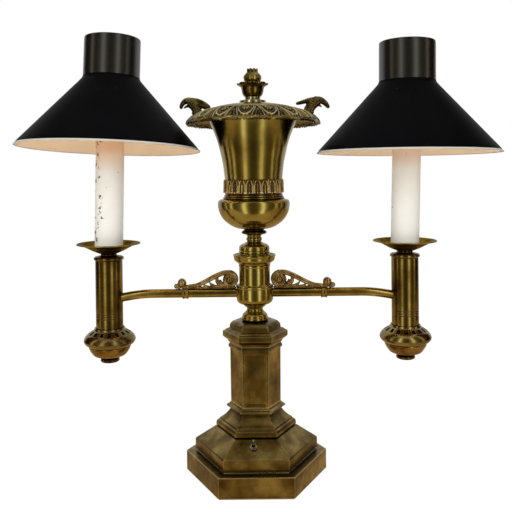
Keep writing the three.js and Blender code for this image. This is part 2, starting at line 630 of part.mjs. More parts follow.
const scrollBracket = (side) => {
  const top = armLevel + arm.radius;
  const volute = [];
  for (let i = scroll.voluteSteps; i >= 0; i -= 1) {
    const share = i / scroll.voluteSteps;
    const angle = quarterTurn + 2 * halfTurn * scroll.turns * share;
    const radius = THREE.MathUtils.lerp(scroll.voluteRadius, scroll.eyeRadius, share);
    const x = scroll.voluteDistance + radius * Math.cos(angle);
    const z = armLevel + scroll.voluteRise + radius * Math.sin(angle);
    volute.push(new THREE.Vector3(side.sign * x, 0, z));
  }
  const run = strap.distance - scroll.voluteDistance;
  const crown = armLevel + scroll.voluteRise + scroll.voluteRadius;
  const drop = crown - top - scroll.tipRadius;
  const stemPoints = scrollStemShares.map(([out, down]) =>
    new THREE.Vector3(side.sign * (scroll.voluteDistance + run * out), 0, crown - drop * down));
  const bar = taperedBar(
    new THREE.CatmullRomCurve3([...volute, ...stemPoints]),
    (share) => THREE.MathUtils.lerp(scroll.barRadius, scroll.tipRadius, share),
    scroll.width / (2 * scroll.barRadius), scroll.barSteps, sideCount.wire,
  );
  const eye = ball(scroll.eyeBall, side.sign * scroll.voluteDistance, 0, armLevel + scroll.voluteRise);
  const baseLevel = top + scroll.baseRadius + runningGap / 2;
  const base = tubeAlong(new THREE.LineCurve3(
    new THREE.Vector3(side.sign * (scroll.voluteDistance - scroll.eyeRadius), 0, baseLevel),
    new THREE.Vector3(side.sign * (strap.distance + scroll.ballRadius), 0, baseLevel),
  ), scroll.baseRadius, 1, 0, sideCount.wire);
  const leafPath = new THREE.CatmullRomCurve3(leafPathShares.map(([out, up]) => new THREE.Vector3(
    side.sign * (scroll.voluteDistance + scroll.voluteRadius * out), 0, baseLevel + scroll.voluteRadius * up,
  )));
  const leafThickness = (share) => scroll.barRadius * THREE.MathUtils.lerp(...leafThicknessShares, share);
  const leaf = taperedBar(
    leafPath, leafThickness, scroll.leafBreadthShare, leafPathShares.length, sideCount.wire,
  );
  const ballX = strap.distance + scroll.ballOffset;
  const ballLevel = top + strap.thickness + scroll.ballRadius * scroll.ballSeatShare;
  const end = ball(scroll.ballRadius, side.sign * ballX, 0, ballLevel);
  const tipX = ballX + scroll.budOffset;
  const tip = ball(scroll.budRadius, side.sign * tipX, 0, top + runningGap + scroll.budRadius);
  const armRoom = rodBetween(arm.radius + runningGap, 0, side.reach).rotateY(side.sign * quarterTurn)
    .translate(0, 0, armLevel);
  const strapRoom = rodBetween(
    arm.radius + strap.thickness + runningGap * 2,
    strap.distance - strap.width / 2 - runningGap,
    strap.distance + strap.width / 2 + runningGap,
    sideCount.medium,
  ).rotateY(side.sign * quarterTurn).translate(0, 0, armLevel);
  const hubRoom = turned([
    point(0, hubLevel),
    ...outline(hubOutlineShares, hub.radius + runningGap, hub.height, hubLevel),
    point(0, flangeLevel),
  ], sideCount.large);
  return geometryOf(joined([bar, eye, base, leaf, end, tip])
    .subtract(solidOf(armRoom)).subtract(solidOf(strapRoom)).subtract(solidOf(hubRoom)));
};

const strapLoop = [
  point(arm.radius + runningGap, -strap.width / 2),
  point(arm.radius + runningGap + strap.thickness, -strap.width / 2),
  point(arm.radius + runningGap + strap.thickness, strap.width / 2),
  point(arm.radius + runningGap, strap.width / 2),
  point(arm.radius + runningGap, -strap.width / 2),
];

const burnerLevel = armLevel - arm.droop - burner.below;
const dishLevel = burnerLevel + burner.height;

// Up out of the tie rod, over into the arm, along it and up the burner to the socket's nipple
const leadPath = (side) => {
  const at = (x, z) => new THREE.Vector3(side.sign * x, 0, z);
  const rodTop = hubFloor + rodNut.height + rod.above;
  const wall = wallFace(side);
  const endLevel = armLevel - arm.droop;
  return new THREE.CatmullRomCurve3([
    at(lead.spread, rodTop - lead.tail),
    at(lead.spread, rodTop + runningGap),
    at(lead.bend, rodTop + arm.radius),
    at(armStart - arm.radius, armLevel + arm.radius - lead.radius / 2),
    at(armStart + lead.radius, armLevel),
    at(wall / 2, armLevel),
    at(wall - arm.droopLength, armLevel),
    at(wall - arm.droopLength / 2, armLevel - arm.droop / 4),
    at(wall, endLevel),
    at(side.reach - burner.wall * 3, endLevel),
    at(side.reach, endLevel + burner.radius),
    at(side.reach, dishLevel - nipple.below / 2),
  ], false, 'catmullrom');
};

for (const side of sides) {
  add(`eagle_head_${side.name}`, eagleHead(side.sign), brass);
  const path = armPath(side, armStart, wallFace(side) + armEndInset);
  add(`arm_${side.name}`, tubeAlong(path, arm.radius, arm.steps, arm.radius - arm.wall), brass);
  add(`scroll_${side.name}`, scrollBracket(side), brass);
  const strapMesh = add(`strap_${side.name}`, turned(strapLoop, sideCount.medium), brass);
  strapMesh.position.set(side.sign * strap.distance, 0, armLevel);
  strapMesh.rotation.y = quarterTurn;
  add(`lead_${side.name}`, tubeAlong(leadPath(side), lead.radius, lead.steps, 0, sideCount.wire), clothLead);
}

// Burners, each built round its own upright axis

// The holes are cut through the gallery's slope, which runs between two levels of its outline.
const perforations = (bottom, top) => Array.from({ length: galleryHoles.count }, (_, i) =>
  block(
    galleryHoles.length, galleryHoles.width, galleryHoles.height,
    galleryHoles.distance, 0, (bottom + top) / 2,
  ).rotateZ((2 * halfTurn * (i + 0.5)) / galleryHoles.count));

for (const side of sides) {
  const home = new THREE.Group();
  home.position.x = side.sign * side.reach;
  lamp.add(home);

  const tubeHole = nipple.radius + runningGap * 2;
  const tubeOutline = outline(burnerOutlineShares, burner.flange, burner.height, burnerLevel);
  const tubeCeiling = dishLevel - burner.ceiling;
  const tubeLoop = [
    point(burner.radius - burner.wall, burnerLevel),
    ...tubeOutline,
    point(tubeHole, dishLevel),
    point(tubeHole, tubeCeiling),
    point(burner.radius - burner.wall, tubeCeiling),
    point(burner.radius - burner.wall, burnerLevel),
  ];
  const armRadius = roomFor(arm.radius, sideCount.medium);
  const armRoom = rodBetween(armRadius, -burner.entry, cutOverrun, sideCount.medium)
    .rotateY(side.sign * (quarterTurn + armEndSlope))
    .translate(-side.sign * (burner.radius - armEndInset), 0, armLevel - arm.droop);
  add(`burner_tube_${side.name}`, cut(turned(tubeLoop, sideCount.large), [armRoom]), brass, home);

  const galleryTop = burnerLevel + gallery.lap;
  const galleryLevel = galleryTop - gallery.height;
  const galleryOutline = [
    ...outline(galleryOutlineShares, gallery.radius, gallery.height, galleryLevel),
    point(burner.radius + runningGap + gallery.wall, galleryTop),
  ];
  add(`air_gallery_${side.name}`, cut(
    turned(shell(galleryOutline, gallery.wall), sideCount.large),
    perforations(galleryOutline[6].y, galleryOutline[7].y),
  ), brass, home);

  const cupLevel = galleryLevel - cup.height;
  const cupInside = [
    point(cup.spigotRadius, galleryLevel),
    point(cup.spigotRadius, galleryLevel + cup.spigot),
    point(cup.spigotRadius - cup.wall, galleryLevel + cup.spigot),
    point(cup.spigotRadius - cup.wall, galleryLevel - cup.bendDepth),
    point(cup.floorRadius, cupLevel + cup.floorRise),
    point(0, cupLevel + cup.floorRise),
  ];
  add(`drip_cup_${side.name}`, turned([
    point(0, cupLevel),
    ...outline(cupOutlineShares, cup.radius, cup.height, cupLevel),
    ...cupInside,
  ], sideCount.large), brass, home);

  const dishOutline = [
    point(tubeHole, dishLevel),
    ...outline(dishOutlineShares, dish.radius, dish.height, dishLevel),
  ];
  add(`drip_dish_${side.name}`, turned(shell(dishOutline, dish.wall), sideCount.large), brass, home);

  // The candle leans a little to the right from its foot in the dish.
  const lean = new THREE.Group();
  lean.position.z = dishLevel;
  lean.rotation.y = degrees(candle.leanDegrees);
  home.add(lean);

  const candleTop = candle.lift + candle.length;
  const socketLevel = candleTop - socket.height;
  add(`socket_nipple_${side.name}`, turned(bored([
    point(nipple.radius, -nipple.below),
    point(nipple.radius, socketLevel + socket.seat - runningGap),
  ], nipple.bore), sideCount.small), steel, lean);
  const socketLoop = [
    point(nipple.radius + runningGap, socketLevel),
    point(socket.neckRadius, socketLevel),
    point(socket.radius, socketLevel + socket.seat),
    point(socket.radius, candleTop),
    point(socket.bore, candleTop),
    point(socket.bore, socketLevel + socket.seat + runningGap),
    point(nipple.radius + runningGap, socketLevel + socket.seat + runningGap),
    point(nipple.radius + runningGap, socketLevel),
  ];
  add(`socket_${side.name}`, turned(socketLoop, sideCount.medium), blackPlastic, lean);
  add(`candle_sleeve_${side.name}`, turned(bored([
    point(candle.radius, candle.lift),
    point(candle.radius, candleTop),
  ], candle.radius - candle.wall), sideCount.medium), whiteSleeve, lean);

  const glassLevel = candleTop + runningGap;
  const bulbLoop = [
    point(0, glassLevel - bulb.capHeight),
    point(bulb.contactRadius, glassLevel - bulb.capHeight),
    point(bulb.capRadius, glassLevel - bulb.capHeight + bulb.contactHeight),
    point(bulb.capRadius, glassLevel),
    ...outline(bulbOutlineShares, bulb.radius, bulb.height, glassLevel),
    point(0, glassLevel + bulb.height),
  ];
  add(`bulb_${side.name}`, turned(bulbLoop, sideCount.medium), frostedGlass, lean);

  const hold = new THREE.Group();
  hold.position.z = side.clipLevel;
  hold.rotation.set(degrees(side.leanBackDegrees), degrees(side.leanRightDegrees), 0);
  lean.add(hold);

  const hoopRadius = bulb.radius + runningGap + clip.wire;
  const hoop = new THREE.TorusGeometry(hoopRadius, clip.wire, sideCount.wire, sideCount.medium);
  const discTop = clip.height + shade.spiderLevel - runningGap;
  const discLevel = discTop - clip.discHeight;
  const postShape = turned([
    point(0, discLevel),
    point(clip.discRadius, discLevel),
    point(clip.discRadius, discTop),
    point(clip.post, discTop),
    point(clip.post, discTop + clip.postHeight),
    point(0, discTop + clip.postHeight),
  ], sideCount.small);
  const wires = Array.from({ length: clip.wires }, (_, i) => {
    const path = new THREE.CatmullRomCurve3([
      ...clipWireShares.map(([out, up]) => new THREE.Vector3(hoopRadius * out, 0, clip.height * up)),
      new THREE.Vector3(clip.weld, 0, discLevel + clip.discHeight / 2),
    ]);
    return taperedBar(path, () => clip.wire, 1, sideCount.wire, sideCount.wire)
      .rotateZ((2 * halfTurn * i) / clip.wires + quarterTurn);
  });
  add(`bulb_clip_${side.name}`, geometryOf(joined([hoop, postShape, ...wires])), steel, hold);

  const cover = new THREE.Group();
  cover.position.z = clip.height;
  hold.add(cover);
  const shadeOutline = [
    point(shade.rim, -shade.coneHeight - shade.lipDrop),
    point(shade.rim - shade.lip, -shade.coneHeight),
    point(shade.collar, 0),
    point(shade.collar, shade.collarHeight),
  ];
  const spiderTop = shade.spiderLevel + shade.spiderHeight;
  const spiderHub = turned(bored([
    point(shade.spiderHub, shade.spiderLevel),
    point(shade.spiderHub, spiderTop),
  ], clip.post + runningGap), sideCount.small);
  const strutStart = (clip.post + shade.spiderHub) / 2 + runningGap;
  const strutEnd = shade.collar - shade.wall / 2;
  const struts = Array.from({ length: clip.wires }, (_, i) =>
    block(
      strutEnd - strutStart, shade.spiderWidth, shade.spiderHeight,
      (strutStart + strutEnd) / 2, 0, (shade.spiderLevel + spiderTop) / 2,
    ).rotateZ((2 * halfTurn * i) / clip.wires + quarterTurn));
  const shadeShell = turned(shell(shadeOutline, shade.wall), sideCount.shade);
  add(`shade_${side.name}`, geometryOf(joined([shadeShell, spiderHub, ...struts])), blackPaint, cover);
}

export default lamp;
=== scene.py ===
"""Two-light argand lamp in antique brass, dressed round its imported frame.

Lengths are in millimetres until a mesh is made, where MM turns them into metres.
"""

import bmesh
import bpy
import numpy as np
from mathutils import Matrix


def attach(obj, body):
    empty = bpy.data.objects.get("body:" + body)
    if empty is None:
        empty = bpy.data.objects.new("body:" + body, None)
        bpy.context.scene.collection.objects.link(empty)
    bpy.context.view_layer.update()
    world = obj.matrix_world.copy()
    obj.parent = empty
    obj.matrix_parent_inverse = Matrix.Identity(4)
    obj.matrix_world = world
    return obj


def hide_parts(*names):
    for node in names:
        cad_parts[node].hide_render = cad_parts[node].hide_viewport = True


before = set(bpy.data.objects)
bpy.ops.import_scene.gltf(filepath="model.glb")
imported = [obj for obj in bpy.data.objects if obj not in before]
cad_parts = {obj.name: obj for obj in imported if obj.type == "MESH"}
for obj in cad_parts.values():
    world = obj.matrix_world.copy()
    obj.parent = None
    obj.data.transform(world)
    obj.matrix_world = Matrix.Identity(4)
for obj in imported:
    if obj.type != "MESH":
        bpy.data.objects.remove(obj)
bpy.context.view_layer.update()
MM = 0.001
TURN = 2 * np.pi


# Camera
# It stands in front of the lamp, a little above the arms, and looks almost level. The picture is
# the lower part of what the lens takes in, so the lens is shifted and not tilted.

picture_pixels = 512
focal_pixels = 629
lens_axis_row = 182.1
eye = (2.8, -721.6, 339.5)
dip, roll = np.radians((0.66, 0.62))

ahead = np.array((0, np.cos(dip), -np.sin(dip)))
above = np.array((0, np.sin(dip), np.cos(dip)))
rightward = np.array((np.cos(roll), 0, 0)) - np.sin(roll) * above
upward = np.array((np.sin(roll), 0, 0)) + np.cos(roll) * above


def placed(name, data):
    """An object of the data, linked to the scene."""
    made = bpy.data.objects.new(name, data)
    bpy.context.scene.collection.objects.link(made)
    return made


camera = placed("camera", bpy.data.cameras.new("camera"))
camera.data.lens = camera.data.sensor_width * focal_pixels / picture_pixels
camera.data.shift_y = lens_axis_row / picture_pixels - 0.5
camera.data.clip_start = 0.05
camera.matrix_world = Matrix.Translation(np.array(eye) * MM) @ Matrix(
    np.column_stack((rightward, upward, -ahead)).tolist()
).to_4x4()
bpy.context.scene.camera = camera


# Studio
# A white table and a white backdrop. Polished metal shows the room and not the lamps: a dim wall
# that only reflections see bends round the camera's side, with two tall soft windows, two narrow
# ones beside them and brown ends, and the table that they see stops short of it.

background_level = 1.0
reflected_level = 0.66
fill_level = 0.62
table_glow, table_whiteness = 1.03, 0.93
table_sheet = (-4000, 4000, -4000, 4000, -0.3)
card_level = 0.62
card_sheet = (-1000, 1000, -330, 2500, -0.2)
wall_radius, wall_foot, wall_top = 1150, -900, 1900
wall_half_turn, wall_steps, wall_strength = np.radians(122), 97, 1.7


def linear(colour):
    """The sRGB hex colour as linear RGBA: ((c + 0.055) / 1.055) ** 2.4, in the darks c / 12.92."""
    srgb = np.array([int(colour[i : i + 2], 16) for i in (1, 3, 5)]) / 255
    return (*np.where(srgb > 0.04045, ((srgb + 0.055) / 1.055) ** 2.4, srgb / 12.92), 1)


def put(tree, kind, inputs=(), **settings):
    """Adds a node with its settings. A list fills the inputs in their order, a dict by their names.

    An input is given a value, a hex colour, a socket that it is linked to, or a node for that
    node's first output. MapRange takes a value, its range from and to, and what these become.
    """
    made = tree.nodes.new("ShaderNode" + kind)
    for name, value in settings.items():
        setattr(made, name, value)
    for name, value in inputs.items() if isinstance(inputs, dict) else enumerate(inputs):
        if isinstance(value, bpy.types.Node):
            value = value.outputs[0]
        if isinstance(value, bpy.types.NodeSocket):
            tree.links.new(value, made.inputs[name])
        else:
            made.inputs[name].default_value = linear(value) if isinstance(value, str) else value
    return made


def shaded(ramp, tones):
    """Gives a colour ramp its stops, as (place, colour) pairs in their order."""
    stops = ramp.color_ramp.elements
    stops[0].position, stops[-1].position = tones[0][0], tones[-1][0]
    for place, _ in tones[1:-1]:
        stops.new(place)
    for stop, (_, colour) in zip(stops, tones):
        stop.color = linear(colour)


def new_material(name):
    """An empty material and its node tree."""
    made = bpy.data.materials.new(name)
    made.use_nodes = True
    made.node_tree.nodes.clear()
    return made, made.node_tree


def quads_on(index):
    """The quads between neighbouring rows and columns of a grid of point numbers."""
    return np.stack((index[:-1, :-1], index[:-1, 1:], index[1:, 1:], index[1:, :-1]), -1)


def grid_mesh(name, grid, quads, trait=None):
    """A mesh of quads on points in millimetres. A trait is one number for each point."""
    mesh = bpy.data.meshes.new(name)
    mesh.from_pydata((grid.reshape(-1, 3) * MM).tolist(), [], quads.reshape(-1, 4).tolist())
    if trait is not None:
        mesh.attributes.new("trait", "FLOAT", "POINT").data.foreach_set(
            "value", np.array(trait, np.float32)
        )
    return mesh


def staged(name, grid, material, unseen_by, trait=None):
    """A stage piece on an open grid, which the named kinds of ray pass by."""
    index = np.arange(grid[..., 0].size).reshape(grid.shape[:2])
    made = placed(name, grid_mesh(name, grid, quads_on(index), trait))
    made.data.materials.append(material)
    for kind in unseen_by:
        setattr(made, f"visible_{kind}", False)


def level_sheet(left, right, front, back, height):
    """The four corners of a level rectangle, as a grid."""
    x, y = np.meshgrid((left, right), (front, back))
    return np.stack((x, y, height + 0 * x), -1)


world = bpy.data.worlds.new("studio")
bpy.context.scene.world = world
world.use_nodes = True
tree = world.node_tree
tree.nodes.clear()
rays = put(tree, "LightPath")
seen = put(tree, "Math", [rays.outputs["Is Camera Ray"], rays.outputs["Is Transmission Ray"]],
           operation="MAXIMUM")
dim = put(tree, "MapRange", [rays.outputs["Is Glossy Ray"], 0, 1, fill_level, reflected_level])
strength = put(tree, "MapRange", [seen, 0, 1, dim.outputs[0], background_level])
sky = put(tree, "Background", ["#ffffff", strength])
put(tree, "OutputWorld", {"Surface": sky})

# The camera sees the table almost as white as the backdrop, with a trace of the contact shadow.
table_paint, tree = new_material("table_white")
rays = put(tree, "LightPath")
lit = put(tree, "BsdfDiffuse", ["#f2f2f2"])
glow = put(tree, "Emission", ["#ffffff", background_level * table_glow])
blend = put(tree, "Math", [rays.outputs["Is Camera Ray"], table_whiteness], operation="MULTIPLY")
put(tree, "OutputMaterial", {"Surface": put(tree, "MixShader", [blend, lit, glow])})
staged("table", level_sheet(*table_sheet), table_paint, ["glossy"])

card_paint, tree = new_material("table_in_reflections")
put(tree, "OutputMaterial", {"Surface": put(tree, "Emission", ["#f3d6a6", card_level])})
staged("card_table", level_sheet(*card_sheet), card_paint, ["camera", "diffuse", "shadow"])

# Round the wall from the middle of the camera's side (0) to its ends (1): place and colour.
wall_tones = [
    (0.0, "#48422f"), (0.1, "#4e4733"), (0.17, "#857e60"), (0.225, "#fffdf2"), (0.28, "#fffdf2"),
    (0.325, "#746b4c"), (0.45, "#51482e"), (0.57, "#473b22"), (0.61, "#e6e0c8"), (0.635, "#e6e0c8"),
    (0.67, "#3b2411"), (0.85, "#23130a"), (1.0, "#3c2310"),
]
wall_paint, tree = new_material("room_in_reflections")
ramp = put(tree, "ValToRGB", [put(tree, "Attribute", attribute_name="trait").outputs["Fac"]])
ramp.color_ramp.interpolation = "EASE"
shaded(ramp, wall_tones)
put(tree, "OutputMaterial", {"Surface": put(tree, "Emission", [ramp, wall_strength])})
turn_share = np.linspace(-1, 1, wall_steps)
bend = turn_share * wall_half_turn
wall_grid = np.stack([
    np.column_stack((wall_radius * np.sin(bend), -wall_radius * np.cos(bend), level + 0 * bend))
    for level in (wall_foot, wall_top)
])
staged("card_wall", wall_grid, wall_paint, ["camera", "diffuse", "shadow", "transmission"],
       np.tile(np.abs(turn_share), 2))


def soft_light(name, place, aim, size, watts):
    """A rectangular lamp at a place, turned to its aim. Reflections don't see it."""
    lamp = bpy.data.lights.new(name, "AREA")
    lamp.shape, lamp.energy = "RECTANGLE", watts
    lamp.size, lamp.size_y = size[0] * MM, size[1] * MM
    place, aim = np.array(place) * MM, np.array(aim) * MM
    away = Matrix.Translation((place - aim).tolist()).translation
    made = placed(name, lamp)
    made.rotation_mode = "QUATERNION"
    made.rotation_quaternion = away.to_track_quat("Z", "Y")
    made.location = place
    made.visible_camera = made.visible_glossy = False


soft_light("light_left", (-700, -1350, 1050), (0, 0, 260), (260, 1300), 15)
soft_light("light_right", (640, -1350, 1050), (0, 0, 260), (260, 1300), 10)
soft_light("light_above", (0, -250, 1700), (0, 0, 300), (900, 600), 10)


# Felt
# A thin six-sided sheet of green pressed felt, glued under the plinth so that the brass doesn't
# scratch the table.

felt_corner = 78.5
felt_height = 1.2
crease_degrees = 38


def softened(corners, radius=0.8, steps=5, closed=False):
    """The outline with every corner rounded by a parabola.

    It leaves each side at the given distance from the corner, or half way along a shorter side.
    """
    corner = np.array(corners, float)
    radius = np.broadcast_to(radius, len(corner))

    def leave(side):
        length = np.linalg.norm(side, axis=1)
        return corner + side * np.minimum(0.5, radius / np.maximum(length, 1e-9))[:, None]

    start = leave(np.roll(corner, 1, 0) - corner)[:, None]
    end = leave(np.roll(corner, -1, 0) - corner)[:, None]
    t = np.linspace(0, 1, steps)[None, :, None]
    curve = (1 - t) ** 2 * start + 2 * t * (1 - t) * corner[:, None] + t**2 * end
    if not closed:
        curve[0], curve[-1] = corner[0], corner[-1]
    curve = curve.reshape(-1, 2)
    return curve[np.append(True, np.linalg.norm(np.diff(curve, axis=0), axis=1) > 1e-4)]


def ring_angles(count):
    """Even angles round a circle."""
    return np.arange(count) * TURN / count


def six_sided(profile, edge=0.5, arc_steps=5, flat_steps=2):
    """Takes (corner radius, height) points round a hexagon with corners on the X axis.

    Each upright edge is an arc of the edge radius: its middle lies on the corner's ray, where the
    arc touches both flats.
    """
    radius, height = np.array(profile, float).T
    edge = np.minimum(edge, radius / 4)
    middle = radius - edge / np.cos(TURN / 12)
    corner = ring_angles(6)[:, None]
    swing = corner + np.linspace(-TURN / 12, TURN / 12, arc_steps)
    x = middle[:, None, None] * np.cos(corner) + edge[:, None, None] * np.cos(swing)
    y = middle[:, None, None] * np.sin(corner) + edge[:, None, None] * np.sin(swing)
    arcs = np.stack((x, y, np.broadcast_to(height[:, None, None], x.shape)), -1)
    share = np.linspace(0, 1, flat_steps, endpoint=False)[1:, None]
    flats = arcs[:, :, -1:] + share * (np.roll(arcs, -1, 1)[:, :, :1] - arcs[:, :, -1:])
    return np.concatenate((arcs, flats), 2).reshape(len(radius), -1, 3)


def numbered(grid):
    """The numbers of a grid's points, with the first column again at the end to close it round."""
    index = np.arange(grid[..., 0].size).reshape(grid.shape[:2])
    return np.column_stack((index, index[:, 0]))


def surface(name, grid, loop=False, sharp_degrees=crease_degrees, trait=None):
    """A piece on a grid of points in millimetres, whose columns close round it.

    The rows run from pole to pole, or close on themselves where loop is true. Edges that bend by
    more than the sharp degrees are shaded as creases.
    """
    index = numbered(grid)
    if loop:
        index = np.vstack((index, index[:1]))
    mesh = grid_mesh(name, grid, quads_on(index), trait)
    cleaner = bmesh.new()
    cleaner.from_mesh(mesh)
    bmesh.ops.remove_doubles(cleaner, verts=cleaner.verts, dist=1e-3 * MM)
    bmesh.ops.recalc_face_normals(cleaner, faces=cleaner.faces)
    cleaner.to_mesh(mesh)
    cleaner.free()
    mesh.shade_smooth()
    mesh.set_sharp_from_angle(angle=np.radians(sharp_degrees))
    return placed(name, mesh)


def settle(made, body, material, slot, *nodes):
    """Gives a piece its material and body, and hides the frame nodes that it stands for."""
    made.data.materials.append(material)
    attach(made, body)
    if nodes:
        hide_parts(*nodes)
    return made


# Pressed wool felt: fibres too fine to see one by one, so they are drawn 0.8 mm wide.
green_felt, tree = new_material("pressed_green_felt")
where = put(tree, "TexCoord").outputs["Object"]
fibre = put(tree, "TexNoise", {"Vector": where, "Scale": 1 / (0.8 * MM), "Detail": 3})
tone = put(tree, "MixRGB", [fibre, "#233026", "#3a4c3d"])
bump = put(tree, "Bump", {"Height": fibre, "Distance": 0.25 * MM})
cloth = put(tree, "BsdfPrincipled", {"Base Color": tone, "Normal": bump, "Roughness": 0.95,
                                     "Sheen Weight": 0.3})
put(tree, "OutputMaterial", {"Surface": cloth})

felt_edge = [(0, 0), (felt_corner, 0), (felt_corner, felt_height), (0, felt_height)]
settle(surface("felt_sheet", six_sided(softened(felt_edge, 0.4))),
       "root", green_felt, "green_felt", "base_felt")


# Plinth and step
# Hollow sand castings in yellow brass, filed flat, lacquered and since gone brown. The plinth's
# walls are plumb. The step stands in a groove on it and slopes up to the pedestal.

plinth_corner = 80.3
plinth_wall, step_wall = 3, 2.6
plinth_foot = felt_height
plinth_top = 23.5
step_top = 52
step_corner = 70


def aged_metal(name, tones, roughness, cloud, soil_and_shade, speck=1.4, grain=0.01, wear_and_highlight=0.0, relief_dirt_shade_and_highlight=None,
               reach=7, edge="#ffffff"):
    """Old metal: three tones in soft clouds, hollows darkened as dirt and painted shade, specks and
    faint dents.

    tones are dark, middle and light, cloud and speck are pattern sizes in millimetres, and
    soil_and_shade is how far the hollows within the reach are darkened, partly as dirt and partly
    as painted shade. grain is the depth of a cast skin, wear_and_highlight is how far the arrises
    are made pale, partly as wear and partly as painted highlight, and
    relief_dirt_shade_and_highlight holds the colours of the recesses (dirt and painted shade) and
    the ridges (wear and painted highlight) where the mesh carries its relief as a trait. edge tints
    what it reflects at a grazing angle.
    """
    made, tree = new_material(name)
    where = put(tree, "TexCoord").outputs["Object"]
    drift = put(tree, "TexNoise", {"Vector": where, "Scale": 1 / (cloud * MM), "Detail": 4,
                                   "Roughness": 0.55})
    fine = put(tree, "TexNoise", {"Vector": where, "Scale": 1 / (speck * MM), "Detail": 5,
                                  "Roughness": 0.7})
    ramp = put(tree, "ValToRGB", [drift])
    shaded(ramp, list(zip((0.32, 0.5, 0.68), tones)))
    spot = put(tree, "MapRange", [fine, 0.62, 0.74, 0, 0.3])
    tone = put(tree, "MixRGB", [spot, ramp, tones[0]])
    # Recesses of the relief turn dark and its ridges pale: partly dirt and wear, partly painted
    # shade and painted highlight.
    if relief_dirt_shade_and_highlight:
        height = put(tree, "Attribute", attribute_name="trait").outputs["Fac"]
        floor = put(tree, "MapRange", [height, 0.05, 0.45, 0.9, 0])
        tone = put(tree, "MixRGB", [floor, tone, relief_dirt_shade_and_highlight[0]])
        raised = put(tree, "MapRange", [height, 0.62, 0.98, 0, 0.85])
        tone = put(tree, "MixRGB", [raised, tone, relief_dirt_shade_and_highlight[1]])
    # Darker in the hollows within the reach, found by ambient occlusion: partly dirt, partly
    # painted shade.
    hollow = put(tree, "AmbientOcclusion", {"Distance": reach * MM}, samples=8).outputs["AO"]
    hollow_dirt_and_shade = put(tree, "MapRange", [hollow, 0.35, 0.85, soil_and_shade, 0])
    tone = put(tree, "MixRGB", [hollow_dirt_and_shade, tone, "#1c1405"])
    # Thin arrises turn pale: partly wear, partly a painted highlight where an edge would catch the
    # light.
    if wear_and_highlight:
        thin = put(tree, "AmbientOcclusion", {"Distance": 1.3 * MM}, samples=8, inside=True,
                   only_local=True).outputs["AO"]
        rubbed_and_highlit = put(tree, "MapRange", [thin, 0.92, 0.72, 0, wear_and_highlight])
        tone = put(tree, "MixRGB", [rubbed_and_highlit, tone, "#f0dca2"])
    rough = put(tree, "MapRange", [drift, 0.3, 0.7, roughness * 1.25, roughness * 0.8])
    bump = put(tree, "Bump", {"Height": fine, "Distance": grain * MM})
    metal = put(tree, "BsdfPrincipled", {"Base Color": tone, "Roughness": rough, "Normal": bump,
                                         "Metallic": 1.0, "Specular Tint": edge})
    put(tree, "OutputMaterial", {"Surface": metal})
    return made


def walled(profile, wall):
    """The profile and its own inside, one wall away along its normals, as one closed loop."""
    along = np.gradient(profile, axis=0)
    along /= np.linalg.norm(along, axis=1)[:, None]
    inside = profile - wall * np.column_stack((along[:, 1], -along[:, 0]))
    return np.vstack((profile, inside[::-1]))


# Lacquered cast brass under brown tarnish: a satin skin with a little of the sand's grain. Its
# arrises turn pale, partly as wear and partly as painted highlight.
base_brass = aged_metal("cast_brass_brown", ("#4b3c1b", "#776333", "#a18b55"), 0.3, 24, 0.9,
                        grain=0.05, wear_and_highlight=0.85)

plinth_loop = softened([
    (plinth_corner - plinth_wall, plinth_foot), (plinth_corner, plinth_foot),
    (plinth_corner, plinth_top), (step_corner - 6, plinth_top),
    (step_corner - 6, plinth_top - plinth_wall),
    (plinth_corner - plinth_wall, plinth_top - plinth_wall),
], 0.7, closed=True)
settle(surface("plinth_casting", six_sided(plinth_loop, 0.7), loop=True),
       "root", base_brass, "base_brass", "base_plinth")

step_profile = softened([
    (69, plinth_top), (69, 24.3), (67.8, 24.6), (67.8, 25.2), (step_corner, 25.7),
    (step_corner, 37.1), (68.8, 38.2), (46.5, 51.2), (44, step_top), (6, step_top),
], 0.45)
settle(surface("step_casting", six_sided(walled(step_profile, step_wall), 0.6), loop=True),
       "root", base_brass, "base_brass", "base_step")


# Toggle switch
# A small nickel-plated toggle, pushed up through a hole in the step's front slope and held by a
# six-sided nut. Its moulded body hangs inside the step.

slope_home = np.array((-3, -48.233, 46.123))
slope_angle = np.radians(36.43)
lever_tilt = np.radians(14)
slope_normal = np.array((0, -np.sin(slope_angle), np.cos(slope_angle)))
pivot_rise = 1
lever_length = 10.5
nut_corner = 4.3
barrel_radius = 2.9


def around(radius, height, angle):
    """Points round the upright axis: radius times cos(angle), radius times sin(angle), height."""
    x, y, z = np.broadcast_arrays(radius * np.cos(angle), radius * np.sin(angle), height)
    return np.stack((x, y, z), -1)


def turned(profile, sides=96, aside=0):
    """Spins (radius, height) points about an upright axis that stands aside along X."""
    radius, height = np.array(profile, float).T[:, :, None]
    return around(radius, height, ring_angles(sides)) + (aside, 0, 0)


def tipped(grid, angle, home):
    """Turns a grid about the X axis through the origin, and carries it home."""
    x, y, z = np.moveaxis(grid, -1, 0)
    turned_y = y * np.cos(angle) - z * np.sin(angle)
    turned_z = y * np.sin(angle) + z * np.cos(angle)
    return np.stack((x, turned_y, turned_z), -1) + home


# Nickel plate, a little yellowed: bright, with fine wear that is drawn 1 mm wide.
nickel = aged_metal("worn_nickel", ("#6d6757", "#a39c88", "#c2bba6"), 0.24, 6, 0.5, speck=1)

